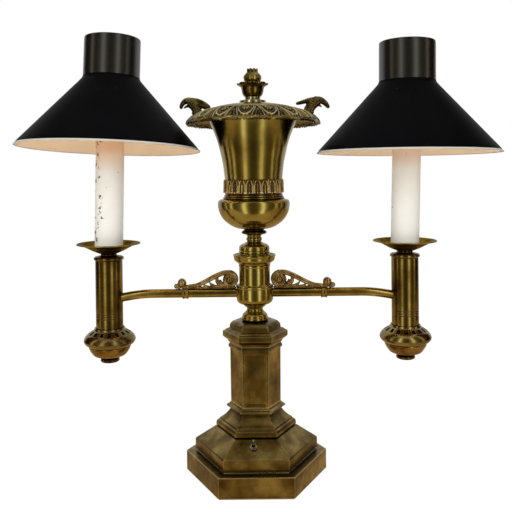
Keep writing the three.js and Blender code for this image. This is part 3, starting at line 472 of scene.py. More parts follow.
nut_loop = softened([
    (barrel_radius + 0.2, -0.3), (nut_corner, -0.3), (nut_corner, 2.1), (barrel_radius + 0.2, 2.1),
], 0.35, closed=True)
nut = tipped(six_sided(nut_loop, 0.2), slope_angle, slope_home)
settle(surface("toggle_nut", nut, loop=True), "root", nickel, "steel", "switch_nut")
collar_loop = softened([(2.1, 2.8), (2.95, 2.8), (2.95, 3.5), (2.1, 3.5)], 0.2, closed=True)
barrel_collar = tipped(turned(collar_loop, 32), slope_angle, slope_home)
settle(surface("toggle_barrel_collar", barrel_collar, loop=True), "root", nickel, "steel")

lever_profile = softened([
    (0, -1.4), (1.1, -1), (1.45, 0), (1, 1.4), (1.25, 5.2), (1.5, 8.2), (1.35, 10.1),
    (0, lever_length),
], 1.2)
pivot = slope_home + slope_normal * pivot_rise
lever = tipped(turned(lever_profile, 24), slope_angle - lever_tilt, pivot)
settle(surface("toggle_lever", lever), "toggle", nickel, "steel", "switch_lever")


# Pedestal
# Three hollow six-sided castings threaded on the tie rod: a moulded foot, a column with a sunk
# panel on each face, and a stepped cap.

foot_level, column_level, cap_level, neck_level = 52, 79.6, 148, 172.5
panel_half_width, panel_half_height, panel_depth = 12.2, 29, 0.4
panel_middle = 111
bead_inset, groove_inset, bead_width = 1.5, 2.5, 0.4
shaft_bore = 24

foot_profile = softened([
    (25, foot_level), (44.4, foot_level), (45.8, 53), (46, 54.4), (45.6, 57), (44.2, 58.9),
    (42, 59.7), (41.6, 61), (37.6, 63.4), (34.2, 66), (31.2, 69.2), (29.4, 71.6), (29.4, 72.6),
    (31.2, 73.2), (33.8, 74.4), (33.8, 76.2), (31.2, 77.4), (29.8, 78.4), (29.4, column_level),
    (25, column_level),
], 1, closed=True)
settle(surface("foot_casting", six_sided(foot_profile, 0.6), loop=True),
       "root", base_brass, "base_brass", "pedestal_foot")

column_rise = np.append(
    softened([(28.6, column_level), (28.8, 84.2), (28.9, 84.6)], 0.3)[:, 1],
    np.linspace(85, 137.4, 88),
)
shaft = np.column_stack((np.interp(column_rise, (column_level, 141), (28.6, 29)), column_rise))
astragal = softened([
    (29, 140.6), (29.1, 141.6), (31, 142.6), (31, 145.4), (29.6, 146.6), (29.6, cap_level),
], 0.9)
column_bore = [(shaft_bore, cap_level), (shaft_bore, column_level)]
column_grid = six_sided(np.vstack((shaft, astragal, column_bore)), 0.5, 5, 56)


def sunk(grid, half_width, middle, half_height, depth):
    """Sinks a panel into each face: the depth times a smooth step in from the panel's edges.

    A thin bead stands on the panel's floor, a little inside its edge, with a groove beside it.
    """
    x, y, z = np.moveaxis(grid, -1, 0)
    face = np.floor(np.arctan2(y, x) / (TURN / 6)) * TURN / 6 + TURN / 12
    outward = x * np.cos(face) + y * np.sin(face)
    across = np.abs(-x * np.sin(face) + y * np.cos(face))
    inside = np.minimum(half_width - across, half_height - np.abs(z - middle))
    step = np.clip(inside / 0.5, 0, 1)
    bead = np.exp(-(((inside - bead_inset) / bead_width) ** 2))
    groove = np.exp(-(((inside - groove_inset) / bead_width) ** 2))
    on_face = outward > shaft_bore + 0.4
    sink = np.where(on_face, depth * step * (1 - 0.3 * bead + 0.25 * groove), 0)
    return np.stack((x - sink * np.cos(face), y - sink * np.sin(face), z), -1)


column = sunk(column_grid, panel_half_width, panel_middle, panel_half_height, panel_depth)
settle(surface("column_casting", column, loop=True, sharp_degrees=30),
       "root", base_brass, "base_brass", "pedestal_column")

cap_profile = softened([
    (shaft_bore, cap_level), (30.4, cap_level), (32, 151.2), (35.4, 153.4), (37.4, 155),
    (37.4, 161), (34.6, 162), (33.4, 163.4), (29.4, 164.2), (29.2, 168.4), (27.6, 170.6),
    (25.4, neck_level), (6, neck_level), (6, 166), (shaft_bore, 166),
], 0.8, closed=True)
settle(surface("cap_casting", six_sided(cap_profile, 0.6), loop=True),
       "root", base_brass, "base_brass", "pedestal_cap")


# Neck and hub
# Turned brass, polished and then left to darken. The hub is a hollow drum with a raised ring,
# closed by a flange plate and a dome, and both arms are screwed into it.

hub_level, flange_level, dome_level = 192, 237, 248.5
stem_level, washer_level, bowl_level = 262.5, 271.4, 276.3
rod_room = 5.4

# Spun and turned brass, polished and then aged to olive: long soft reflections.
urn_brass = aged_metal("polished_brass_olive", ("#74622e", "#998643", "#b0a05e"), 0.19, 44, 0.9,
                       speck=1.2)
# The same brass where it was never polished again.
dark_brass = aged_metal("tarnished_brass", ("#2a210c", "#54461a", "#837233"), 0.3, 9, 0.9)

turnings = {
    "neck_baluster": ("neck_turning", urn_brass, "brass", 0.9, [
        (rod_room, neck_level), (14, neck_level), (15.3, 174), (15.3, 176.4), (14.2, 177.6),
        (14.6, 178.8), (12.9, 181), (10.4, 183.2), (9.1, 185.4), (9.1, 187), (10.4, 188.4),
        (12.4, 189.6), (12.6, 190.6), (13.8, 191.2), (13.8, hub_level), (rod_room, hub_level),
    ]),
    "hub_drum": ("hub_turning", urn_brass, "brass", 0.8, [
        (rod_room, hub_level), (14.5, hub_level), (17.8, 192.8), (20.2, 195), (21.1, 198),
        (21.1, 209.6), (20.7, 210.4), (21.6, 211.2), (21.6, 212.9), (20.5, 213.6), (18.4, 214),
        (17.6, 215.2), (17.6, 234.2), (18.1, 235.2), (18.1, flange_level), (12.5, flange_level),
        (12.5, 196.5), (rod_room, 196.5),
    ]),
    "hub_flange": ("flange_turning", urn_brass, "brass", 0.6, [
        (rod_room, flange_level), (17.8, flange_level), (18.9, 238.8), (20.9, 240.4), (22.6, 241.4),
        (23.3, 243), (23.7, 245.8), (24.5, 247.2), (24.5, 248.3), (23.4, dome_level), (22.4, 247.2),
        (20.6, 246), (18.7, 245.8), (18.5, dome_level), (rod_room, dome_level),
    ]),
    "hub_dome": ("dome_turning", urn_brass, "brass", 0.7, [
        (rod_room, dome_level), (17.4, dome_level), (17.8, 249.2), (17.1, 250), (17.7, 250.8),
        (17.7, 252.4), (17, 253), (17.5, 253.8), (17.5, 256.2), (16.9, 258.2), (14.6, 260),
        (10.8, 261.4), (9.4, stem_level), (rod_room, stem_level),
    ]),
    "urn_stem": ("stem_turning", urn_brass, "brass", 0.9, [
        (rod_room, stem_level), (8.2, stem_level), (8.2, 264.2), (9, 265.2), (9, 267.2),
        (7.9, 268.2), (7.9, 269.4), (8.6, 270.2), (8.6, washer_level), (rod_room, washer_level),
    ]),
    "stem_washer": ("washer_turning", dark_brass, "dark_brass", 0.9, [
        (rod_room, washer_level), (10, washer_level), (13.6, 272.2), (14.5, 273.4), (14.5, 274.4),
        (13, 275.6), (11.4, bowl_level), (rod_room, bowl_level),
    ]),
}
for node, (name, metal, slot, round_off, loop) in turnings.items():
    settle(surface(name, turned(softened(loop, round_off, closed=True)), loop=True),
           "root", metal, slot, node)


# Urn
# The bowl and the flared body are spun from sheet. Between them sits a cast band of upright
# leaves, and the body carries a cast rim with leaves that turn down.

band_level, urn_level, brim_level = 317, 334.3, 411
sheet_wall = 1.5
leaf_count = 24
band_radius, band_bore = 33.9, 31.7
band_neck, band_neck_radius = 0.12, 32.8

bowl_profile = softened([
    (rod_room, bowl_level), (11.4, bowl_level), (11.6, 277.6), (20.5, 278.8), (27.8, 282.6),
    (34.4, 288), (38.4, 294), (40.8, 301), (41.4, 307), (40.5, 310.6), (37.4, 311.8), (35.2, 312.3),
    (34.5, 312.7), (35.3, 313.2), (35.2, 314.2), (33.9, 314.6), (33.3, 315), (34.2, 315.5),
    (34, 316.4), (32.8, band_level),
], [1, 1, 1, 12, 12, 12, 12, 12, 12, 2.2, 0.8, 0.4, 0.3, 0.5, 0.5, 0.3, 0.3, 0.4, 0.4, 0.3], 9)
settle(surface("bowl_spinning", turned(walled(bowl_profile, sheet_wall), 144), loop=True),
       "root", urn_brass, "brass", "urn_bowl")

band_rows, leaf_steps = 40, 28
band_angle = ring_angles(leaf_count * leaf_steps)


def leaf_relief(angle, share):
    """Height of the leaf band's relief at an angle and a share of the band's height.

    Each leaf has a raised outline, which closes to a point at the top like an arch, a rib down
    its middle, and a thinner rib between it and the next one.
    """
    across = np.abs((angle * leaf_count / TURN) % 1 - 0.5) * 2
    arch = 0.74 * np.sqrt(np.clip(1 - (np.clip(share - 0.45, 0, 1) / 0.52) ** 2, 0, 1))
    outline = np.exp(-(((across - arch) / 0.15) ** 2)) * (share < 0.985)
    middle = 0.8 * np.exp(-((across / 0.13) ** 2)) * np.clip((0.74 - share) / 0.15, 0, 1)
    between = 0.75 * np.exp(-(((across - 1) / 0.1) ** 2))
    foot = np.exp(-((share / 0.05) ** 2))
    return np.clip(outline + middle + between + foot, 0, 1)


share, angle = np.meshgrid(np.linspace(0, 1, band_rows), band_angle, indexing="ij")
band_height = leaf_relief(angle, (share - band_neck) / (1 - band_neck)) * (share > band_neck)
band_out = np.where(share > band_neck, band_radius + band_height - 0.5 * share, band_neck_radius)
band_grid = np.concatenate((
    around(band_out, band_level + share * (urn_level - band_level), angle),
    around(band_bore, np.array([[urn_level], [band_level]]), band_angle),
))
band_trait = np.append(band_height, np.full(2 * len(band_angle), 0.5))
# Cast brass, chased and rubbed: satin, darker in the recesses as dirt and painted shade, and in
# the leaf band with ridges made pale as wear and painted highlight.
cast_brass = aged_metal("chased_cast_brass", ("#5a4a20", "#8f7f3e", "#b5a562"), 0.24, 14, 1.0,
                        reach=3)
leaf_brass = aged_metal("leaf_band_brass", ("#7a5c2c", "#a5894c", "#c0a766"), 0.26, 12, 0.8,
                        relief_dirt_shade_and_highlight=("#4a3314", "#f2e7bd"), reach=2)
settle(surface("leaf_band_casting", band_grid, loop=True, sharp_degrees=60, trait=band_trait),
       "root", leaf_brass, "brass", "urn_band")

body_profile = softened([
    (33, urn_level), (33.2, 338), (35, 353.4), (37.5, 365), (40, 375.5), (43, 384.4), (47.1, 394.3),
    (50.6, 401.3), (52.6, 405), (53.6, 407.9), (53.8, brim_level),
], 5, 9)
settle(surface("body_spinning", turned(walled(body_profile, sheet_wall), 144), loop=True),
       "root", urn_brass, "brass", "urn_body")


# Urn rim
# One casting, chased by hand. On its sloping top hang U-shaped swags, each round a rosette, with
# pointed darts between them, and its edge ends in scallops and small turned-down tips.

motif_count = 16
motif_steps = 44
first_swag = 0.79
slope_rows = 72
relief = 2.2
half_motif, slope_length = 12.4, 29
bead_radius, bead_level = 50.6, 414.4
edge_radius, edge_level = 77.6, 397.8


def ridge(distance, width):
    """A rounded ridge: a bell curve of the distance from its middle line."""
    return np.exp(-((distance / width) ** 2))


def rim_relief(across, down):
    """Height of the rim's relief, from 0 to 1.

    across runs from -1 to 1 over a motif and is 0 in the middle of its swag, and down runs from
    0 at the bead to 1 at the edge. Both become millimetres. The swag is two ridges on nested
    ellipses round a six-petalled rosette. The dart is two ridges that part from its point at the
    bead, with a smaller pair inside, and the edge's ridge follows the scallops.
    """
    x, y = across * half_motif, down * slope_length
    reach = np.hypot(x / 8.6, (y - 5.5) / 18.2)
    swag = np.maximum(ridge(reach - 1, 0.1), 0.6 * ridge(reach - 0.76, 0.06))
    from_rosette = np.hypot(x, (y - 10.5) * 0.9)
    petals = 0.85 * np.abs(np.cos(3 * np.arctan2(y - 10.5, x))) ** 0.7
    petals = petals * (from_rosette < 4.6) * (from_rosette > 1)
    boss = 0.95 * ridge(from_rosette, 1.2)
    aside = half_motif - np.abs(x)
    low = np.clip((27 - y) / 1.5, 0, 1)
    dart = ridge(aside - 0.5 - 0.25 * np.clip(y - 4, 0, None), 0.95)
    dart = dart * np.clip((y - 2.5) / 1.5, 0, 1)
    inner = 0.8 * ridge(aside - 0.22 * np.clip(y - 13, 0, None), 0.75)
    inner = inner * np.clip((y - 12) / 2, 0, 1)
    top = ridge(y - 0.6, 1.1)
    scallop = 27.2 + 1.1 * np.cos(across * TURN / 2)
    edge = 0.9 * ridge(y - scallop, 0.8)
    return np.clip(np.max((swag, petals, boss, dart * low, inner * low, top, edge), axis=0), 0, 1)


rim_angle = ring_angles(motif_count * motif_steps)
across = ((rim_angle * motif_count / TURN + first_swag) % 1 - 0.5) * 2
down, across = np.meshgrid(np.linspace(0, 1, slope_rows), across, indexing="ij")
tip = np.abs(np.cos(across * TURN / 2 * 3.5)) ** 0.6
lobe = 0.5 + 0.5 * np.cos(across * TURN / 2)
slope_out = bead_radius + (edge_radius - bead_radius) * down - 1.3 * down**8 * (1 - lobe)
slope_level = bead_level - (bead_level - edge_level) * (0.36 * down + 0.64 * down**2.4)
rim_height = rim_relief(across, down)
lift = relief * (rim_height - 0.85)
slope_out = slope_out + lift * 0.45
slope_level = slope_level + lift * 0.85 - 2.2 * down**14 * tip * (0.5 + 0.5 * lobe) + 1.4 * down**14

# The same casting brass with deeper carving: hollows almost black, as dirt and painted shade,
# under ridges made pale as wear and painted highlight.
carved_brass = aged_metal("carved_cast_brass", ("#4c3d1a", "#786632", "#938046"), 0.28, 12, 0.9,
                          relief_dirt_shade_and_highlight=("#1e1506", "#e2d5a4"), reach=3)
under = softened([
    (75.6, 398.6), (73.6, 400.8), (65.9, 404.2), (58.4, 407), (55, 408.8), (54.2, 410.2),
], 2)
seat = softened([
    (54, brim_level), (42.5, brim_level), (42.5, 412.8), (45.8, 412.8), (45.8, 414.4),
    (46.6, 414.7), (49.6, 414.7),
], 0.4)
rim_grid = np.concatenate((
    around(slope_out, slope_level, rim_angle), around(under[:, :1], under[:, 1:], rim_angle),
    around(seat[:, :1], seat[:, 1:], rim_angle),
))
rim_trait = np.append(rim_height, np.full(rim_grid[..., 0].size - rim_height.size, 0.5))
settle(surface("leaf_rim_casting", rim_grid, loop=True, sharp_degrees=60, trait=rim_trait),
       "root", carved_brass, "brass", "urn_rim")


# Lid and finial
# The lid is turned, with a spigot that drops into the rim. A pale plated collar, a dark cup with
# a scalloped lip and a bud of closed leaves are screwed down on it.

lid_level, collar_level, cup_level, bud_level = 412.8, 424.5, 429.1, 440.5
stud_room = 2.8

lid_loop = softened([
    (40, 407), (42.2, 407), (42.2, lid_level), (45.5, lid_level), (45.5, 415.2), (43.9, 416.6),
    (30, 419.5), (17, 420.9), (14.8, 421.2), (stud_room, 421.2), (stud_room, 419.1), (15.2, 419.1),
    (40, lid_level),
], 0.7, closed=True)
settle(surface("lid_turning", turned(lid_loop, 144), loop=True),
       "lid", urn_brass, "brass", "urn_lid")

# Brass under worn silver plate: pale, a little yellow, and soft in its shine.
plated = aged_metal("pale_plate", ("#8f8768", "#c2b995", "#e6e0ca"), 0.22, 8, 0.5)
boss_loop = softened([
    (stud_room, 420.9), (15.2, 420.9), (15.2, 423.9), (14.6, collar_level),
    (stud_room, collar_level),
], 0.3, closed=True)
settle(surface("lid_boss", turned(boss_loop), loop=True), "lid", plated, "pale_metal")
collar_loop = softened([
    (stud_room, collar_level), (8.4, collar_level), (9, 425.4), (8.6, 426.6), (9, 427.8),
    (8.4, cup_level), (stud_room, cup_level),
], 0.7, closed=True)
settle(surface("finial_ring", turned(collar_loop), loop=True),
       "lid", plated, "pale_metal", "finial_collar")

petal_count = 8
cup_outside = softened([
    (stud_room, cup_level), (10, cup_level), (10.4, 430), (11.8, 432), (12.4, 435), (12.8, 438),
    (14.2, 440.8), (17.4, 441.8), (18.1, 442.8),
], [0.5, 0.8, 0.8, 4, 4, 4, 3, 1, 0.4], 7)
cup_inside = softened([
    (17.8, 444), (16, 443.6), (13.6, 441.8), (12.2, bud_level), (stud_room, bud_level),
], [0.4, 1, 2, 1, 0.5], 7)


def drawn_in(grid, factor, lift):
    """The grid with its distance from the upright axis times a factor, and raised by the lift."""
    x, y, z = np.moveaxis(grid, -1, 0)
    return np.stack((x * factor, y * factor, z + lift), -1)


cup_steps = petal_count * 18
cup_grid = turned(np.vstack((cup_outside, cup_inside)), cup_steps)
petal = np.abs(np.cos(ring_angles(cup_steps) * petal_count / 2)) ** 0.7
flare = np.clip((cup_grid[..., 2] - 436) / 7.6, 0, 1) ** 2
cup_grid = drawn_in(cup_grid, 1 - flare * 0.1 * (1 - petal), flare * (1.1 * petal - 0.6))
# Turned brass with old dark lacquer: brown, with sharp small highlights.
tulip_brass = aged_metal("dark_polished_brass", ("#443513", "#796530", "#a08a4c"), 0.2, 7, 1.0,
                         reach=4)
settle(surface("finial_tulip", cup_grid, loop=True), "lid", tulip_brass, "dark_brass", "finial_cup")

bud_outside = softened([
    (stud_room, bud_level), (8.2, bud_level), (8.2, 444.8), (10, 447.8), (10.6, 450.6),
    (9.9, 453.2), (7.6, 455.6), (6.7, 456.8), (6.4, 458), (6.9, 460), (5.6, 461.4), (3.6, 459.4),
    (0, 460.6),
], [0.5, 0.5, 2, 4, 4, 4, 2, 0.8, 1, 1, 0.8, 1.4, 1], 7)
bud_steps = 144
bud_grid = turned(np.vstack(([(0, 449.8), (stud_room, 449.8)], bud_outside)), bud_steps)
closed_leaf = np.abs(np.sin(ring_angles(bud_steps) * 4))
crown = np.clip((bud_grid[..., 2] - 455.6) / 3, 0, 1)
belly = ridge(bud_grid[..., 2] - 451, 3.4)
furrow = 1 - crown * 0.26 * (1 - closed_leaf) ** 1.5 - belly * 0.05 * (1 - closed_leaf) ** 3
bud_grid = drawn_in(bud_grid, furrow, -crown * 1.5 * (1 - closed_leaf) ** 1.2)
settle(surface("finial_bud_casting", bud_grid), "lid", cast_brass, "brass", "finial_bud")


# Eagle heads
# Cast in one with their necks and riveted on the rim: a hooked beak, a brow, and feathers in rows
# down the neck. The right one's crest points back free, and the left one's lies on its neck.


def curve(stations, steps):
    """A smooth cubic curve through the stations, cut into steps of even length.

    A station's first columns are its place; later ones, such as thicknesses, run along with it.
    """
    station = np.array(stations, float)
    station = np.vstack((2 * station[0] - station[1], station, 2 * station[-1] - station[-2]))
    t = np.linspace(0, len(stations) - 1 - 1e-9, 40 * len(stations))
    first, t = t.astype(int), (t % 1)[:, None]
    a, b, c, d = station[first], station[first + 1], station[first + 2], station[first + 3]
    fine = (2 * b + (c - a) * t + (2 * a - 5 * b + 4 * c - d) * t**2
            + (3 * b - a - 3 * c + d) * t**3) / 2
    length = np.append(0, np.cumsum(np.linalg.norm(np.diff(fine[:, :2], axis=0), axis=1)))
    even = np.linspace(0, length[-1], steps)
    return np.column_stack([np.interp(even, length, column) for column in fine.T])


def limb(stations, steps=60, sides=28, ripple=None):
    """A closed solid along a curve in the XZ plane, with elliptical rings and rounded ends.

    A station is (x, z, half the depth in the plane, half the width across it). ripple gives a
    factor on the ring at each share of the length and each angle.
    """
    x, z, deep, wide = curve(stations, steps).T[:, :, None]
    share = np.linspace(0, 1, steps)[:, None]
    along = np.stack((np.gradient(x[:, 0]), np.gradient(z[:, 0])), -1)
    along /= np.linalg.norm(along, axis=1)[:, None]
    ends = np.sqrt(np.clip(1 - (2 * share - 1) ** 30, 0, 1))
    angle = ring_angles(sides)
    factor = ends if ripple is None else ends * ripple(share, angle)
    rise = deep * np.sin(angle) * factor
    across = wide * np.cos(angle) * factor
    return np.stack((x - along[:, 1:] * rise, across, z + along[:, :1] * rise), -1)


def finished(made):
    """The piece with its modifiers carried out."""
    evaluated = made.evaluated_get(bpy.context.evaluated_depsgraph_get())
    whole = bpy.data.meshes.new_from_object(evaluated)
    made.modifiers.clear()
    made.data = whole
    whole.shade_smooth()
    return made


casting_voxel = 0.36


def fused(name, grids):
    """Joins closed grids into one skin by a voxel remesh, and one pass smooths it."""
    parts = [surface(f"{name}_part", grid) for grid in grids]
    shell = bmesh.new()
    for part in parts:
        shell.from_mesh(part.data)
        bpy.data.objects.remove(part)
    mesh = bpy.data.meshes.new(name)
    shell.to_mesh(mesh)
    shell.free()
    made = placed(name, mesh)
    remesh = made.modifiers.new("remesh", "REMESH")
    remesh.mode, remesh.voxel_size = "VOXEL", casting_voxel * MM
    ease = made.modifiers.new("ease", "SMOOTH")
    ease.factor, ease.iterations = 0.5, 2
    return finished(made)


def globe(place, radius, squeeze=(1, 1, 1)):
    """A ball on rings of latitude, stretched by the three factors."""
    latitude = np.linspace(-np.pi / 2, np.pi / 2, 17)[:, None]
    unit = around(np.cos(latitude), np.sin(latitude), ring_angles(24))
    return unit * radius * np.array(squeeze) + np.array(place)


def feathers(share, angle):
    """Overlapping feathers: a saw along the length whose teeth are staggered round the ring."""
    row = share * 13 + 0.5 * (np.round(angle / (TURN / 10)) % 2)
    on_neck = np.clip((0.6 - share) / 0.08, 0, 1)
    return 1 + 0.2 * (0.6 - row % 1) * on_neck + 0.06 * np.cos(angle * 10)


neck_stations = {
    "right": [
        (63.6, 408.6, 6.4, 4.4), (64.2, 412.6, 5.8, 4), (66.8, 417.6, 5.6, 4),
        (71.4, 422.2, 6, 4.4), (76.6, 424, 4.4, 4), (81, 422.4, 3.3, 3.1), (84.6, 419, 2.7, 2.4),
        (87.4, 415, 1.8, 1.4),
    ],
    "left": [
        (63.6, 408.6, 6.4, 4.4), (63.9, 412.6, 5.6, 4), (65.8, 417.6, 5.4, 4),
        (69.8, 422.4, 5.9, 4.4), (74.4, 424.9, 4, 4), (78.3, 423.7, 3.1, 3.1),
        (81.2, 420.2, 2.4, 2.4), (82.4, 415.6, 1.7, 1.5),
    ],
}
crest_stations = {
    "right": [
        (73, 426, 2.2, 2.8), (65, 424.4, 2.9, 3), (57, 422.2, 2.4, 2.4), (52, 421, 2, 1.9),
        (49.2, 420.5, 1.5, 1.3),
    ],
    "left": [
        (72, 426.6, 2.2, 2.8), (64.5, 424.2, 3.8, 3.4), (57.6, 420.6, 4.4, 3.6),
        (52, 417.6, 3.6, 3), (48.6, 415.8, 2, 1.6),
    ],
}
jaw_stations = [(73.4, 419.4, 1.9, 2.2), (76.8, 418.2, 1.4, 1.4), (79, 416.2, 0.5, 0.5)]
tongue_stations = [
    (60, 411, 2.6, 5.4), (68, 406.4, 2.8, 6), (74.4, 401.4, 2, 4.2), (77.2, 398.4, 0.5, 1),
]
# Eyes, brows and nostrils: place, size and stretch of each pair of balls.
face_balls = [(75.4, 3.7, 424.4, 1.2, (1, 1, 1)), (75, 3.2, 426.2, 1.4, (1.9, 0.9, 0.6)),
              (79.6, 2.6, 421.4, 0.9, (1.4, 0.7, 0.8))]
# Sand-cast brass that nobody polishes: dull and dark, with thin edges such as beak and crest
# made a little pale, partly as wear and partly as painted highlight.
eagle_brass = aged_metal("dull_cast_brass", ("#2e250e", "#5a4d25", "#948557"), 0.3, 8, 1.0,
                         grain=0.05, wear_and_highlight=0.3, reach=2.5)
for side, sign in (("left", -1), ("right", 1)):
    facing = np.array((sign, 1, 1, 1))
    head = fused(f"eagle_head_casting_{side}", [
        limb(neck_stations[side] * facing, 90, 40, feathers),
        limb(crest_stations[side] * facing, 40, 18),
        limb(jaw_stations * facing, 24, 14), limb(tongue_stations * facing, 36, 20),
        *[globe((sign * x, y, z), radius, squeeze)
          for x, apart, z, radius, squeeze in face_balls for y in (-apart, apart)],
    ])
    settle(head, "root", eagle_brass, "brass", f"eagle_head_{side}")


# Arms
# Two drawn brass tubes, screwed into the hub. Each runs level and droops a little into its
# burner, where it is brazed. A short strap holds the scroll down on it.

arm_level = 204.3
arm_radius, arm_bore, arm_droop, droop_length = 5, 3.6, 4.2, 36
arm_start = 13.6
burner_radius = 15.3
strap_middle, strap_width = 79.5, 6.7
arms = (("left", -1, 167.2), ("right", 1, 172.8))


def piped(path, radius, normal=(0, 1, 0), sides=28, bore=0):
    """A round bar along a path in a plane with the given normal, or a pipe with that bore."""
    path = np.array(path, float)
    along = np.gradient(path, axis=0)
    along /= np.linalg.norm(along, axis=1)[:, None]
    across = np.array(normal, float)
    upright = np.cross(along, across)
    angle = ring_angles(sides)[:, None]
    ring = across * np.cos(angle) + upright[:, None] * np.sin(angle)
    outside = path[:, None] + radius * ring
    if bore:
        return np.concatenate((outside, (path[:, None] + bore * ring)[::-1]))
    ends = np.repeat(path[[0, -1], None], sides, 1)
    return np.concatenate((ends[:1], outside, ends[1:]))


# Drawn tube, polished more than once: brighter on top, brown below.
tube_brass = aged_metal("drawn_brass_tube", ("#715c2a", "#9f8644", "#c7ae69"), 0.16, 26, 0.7,
                        speck=1.2)

for side, sign, reach in arms:
    face = reach - burner_radius
    bend = face - droop_length
    t = np.linspace(0, 1, 24)[1:, None]
    corner = np.array([
        (bend, 0), (bend + 14.4, 0), (face - 9.3, -arm_droop / 2), (face + 1.5, -arm_droop),
    ])
    drop = ((1 - t) ** 3 * corner[0] + 3 * t * (1 - t) ** 2 * corner[1]
            + 3 * t**2 * (1 - t) * corner[2] + t**3 * corner[3])
    run = np.vstack((np.column_stack((np.linspace(arm_start, bend, 14), np.zeros(14))), drop))
    path = np.column_stack((sign * run[:, 0], 0 * run[:, 0], arm_level + run[:, 1]))
    settle(surface(f"arm_tube_{side}", piped(path, arm_radius, bore=arm_bore), loop=True),
           "root", tube_brass, "brass", f"arm_{side}")

    strap_loop = softened([
        (5.1, -strap_width / 2), (6.3, -strap_width / 2), (6.7, -2.3), (6, -1.4), (6, 1.4),
        (6.7, 2.3), (6.3, strap_width / 2), (5.1, strap_width / 2),
    ], 0.6, closed=True)
    z, y, x = np.moveaxis(turned(strap_loop, 48), -1, 0)
    band = np.stack((sign * strap_middle + x, y, arm_level + z), -1)
    settle(surface(f"strap_band_{side}", band, loop=True),
           "root", tube_brass, "brass", f"strap_{side}")


# Scroll brackets
# Sand-cast S-scrolls, fluted along their face. The volute's eye is a rosette ball, a leaf fills
# the corner below the stem, and two balls end the foot past the strap.

volute_middle, volute_level = 28.6, 219.3
volute_radius, eye_radius, volute_turns = 8.4, 2.4, 1.45


def fluted(share, angle):
    """A groove along each flank of the bar, where the ring is drawn in."""
    return 1 - 0.36 * np.exp(-(((np.abs(np.cos(angle)) - 1) / 0.06) ** 2)) + 0 * share


def lobed(share, angle):
    """Leaflets: the ring swells and shrinks along the length."""
    return 0.82 + 0.18 * np.abs(np.cos(share * TURN * 1.6)) + 0 * angle


# Sand-cast brass with a fine grain: pinker and paler than the tube below it.
scroll_brass = aged_metal("cast_brass_scroll", ("#634e28", "#9b7f4e", "#c6ad7c"), 0.26, 8, 1.0,
                          speck=0.9, grain=0.03, wear_and_highlight=0.25, reach=2)
spiral = np.linspace(1, 0, 40)
spiral_angle = TURN / 4 + TURN * volute_turns * spiral
spiral_radius = volute_radius + (eye_radius - volute_radius) * spiral
spiral_thickness = 2.8 - 1.1 * spiral
spiral_stations = np.column_stack((
    volute_middle + spiral_radius * np.cos(spiral_angle),
    volute_level + spiral_radius * np.sin(spiral_angle), spiral_thickness, 3 - 0.5 * spiral,
))
stem_stations = [
    (36.6, 227, 2.9, 3), (46.8, 222.6, 2.9, 3), (58, 216.9, 2.7, 2.9), (68.4, 213, 2.3, 2.8),
    (79.5, 212.3, 2, 2.6),
]
foot_stations = [(21, 210.3, 1.5, 2.6), (50, 210.3, 1.5, 2.8), (84.5, 210.6, 1.6, 2.4)]
# The leaf's lobes in the corner below the stem, and the tendril that runs out along the foot.
leaf_lobes = [
    ([(37.8, 210.6, 2.6, 2.2), (41, 215, 3.1, 2.6), (43.2, 219, 2.4, 2.3), (43, 222.6, 1.4, 1.6)],
     40, 20),
    ([(42, 210.6, 1.9, 2), (47.6, 212.6, 2.1, 2.2), (52, 216, 1, 1.3)], 36, 20),
    ([(33.4, 211.6, 1.6, 1.9), (37.4, 214.4, 1.9, 2), (39.8, 219.6, 1.2, 1.4)], 30, 16),
]
tendril = [(47.6, 210.8, 1.4, 1.8), (54, 211.6, 1.5, 1.9), (59, 213.6, 0.8, 1.1)]
for side, sign in (("left", -1), ("right", 1)):
    facing = np.array((sign, 1, 1, 1))
    scroll = fused(f"scroll_casting_{side}", [
        limb(np.vstack((spiral_stations, stem_stations)) * facing, 200, 40, fluted),
        limb(foot_stations * facing, 60, 20),
        *[limb(lobe * facing, steps, sides, lobed) for lobe, steps, sides in leaf_lobes],
        limb(tendril * facing, 30, 16),
        globe((sign * volute_middle, 0, volute_level), 8.2, (1, 0.16, 1)),
        globe((sign * volute_middle, 0, volute_level), 3.1, (1, 1.15, 1)),
        *[globe((sign * (volute_middle + 1.9 * np.cos(a)), y, volute_level + 1.9 * np.sin(a)), 1)
          for a in ring_angles(5) for y in (-3.4, 3.4)],
        globe((sign * 83.4, 0, 216.3), 5.1),
        globe((sign * 83.4, 0, 220.6), 1.5, (1.5, 1.5, 0.6)),
        globe((sign * 83.1, 0, 212), 2.8, (1.4, 1, 0.7)),
        globe((sign * 89.8, 0, 212.6), 2.95),
        globe((sign * 87, 0, 211), 1.7, (1.7, 1, 1)),
    ])
    settle(scroll, "root", scroll_brass, "brass", f"scroll_{side}")


# Leads and inner fittings
# Cotton-covered leads run through the arms. The tie rod, its nuts, the urn's rod and the stud
# stay as the frame draws them, plain turned steel that is hidden in the finished lamp.

# Braided cotton over the wires, its cells drawn 0.6 mm wide: dull gold, with brown between them.
cotton, tree = new_material("cotton_covered_lead")
where = put(tree, "TexCoord").outputs["Object"]
braid = put(tree, "TexVoronoi", {"Vector": where, "Scale": 1 / (0.6 * MM)})
tone = put(tree, "MixRGB", [braid, "#d8b565", "#94702c"])
bump = put(tree, "Bump", {"Height": braid, "Distance": 0.1 * MM})
cloth = put(tree, "BsdfPrincipled", {"Base Color": tone, "Normal": bump, "Roughness": 0.85,
                                     "Sheen Weight": 0.2})
put(tree, "OutputMaterial", {"Surface": cloth})

# Turned mild steel, grey and satin, without rust.
mild_steel = aged_metal("turned_mild_steel", ("#4c4a46", "#7f7d78", "#98968f"), 0.34, 12, 0.6)


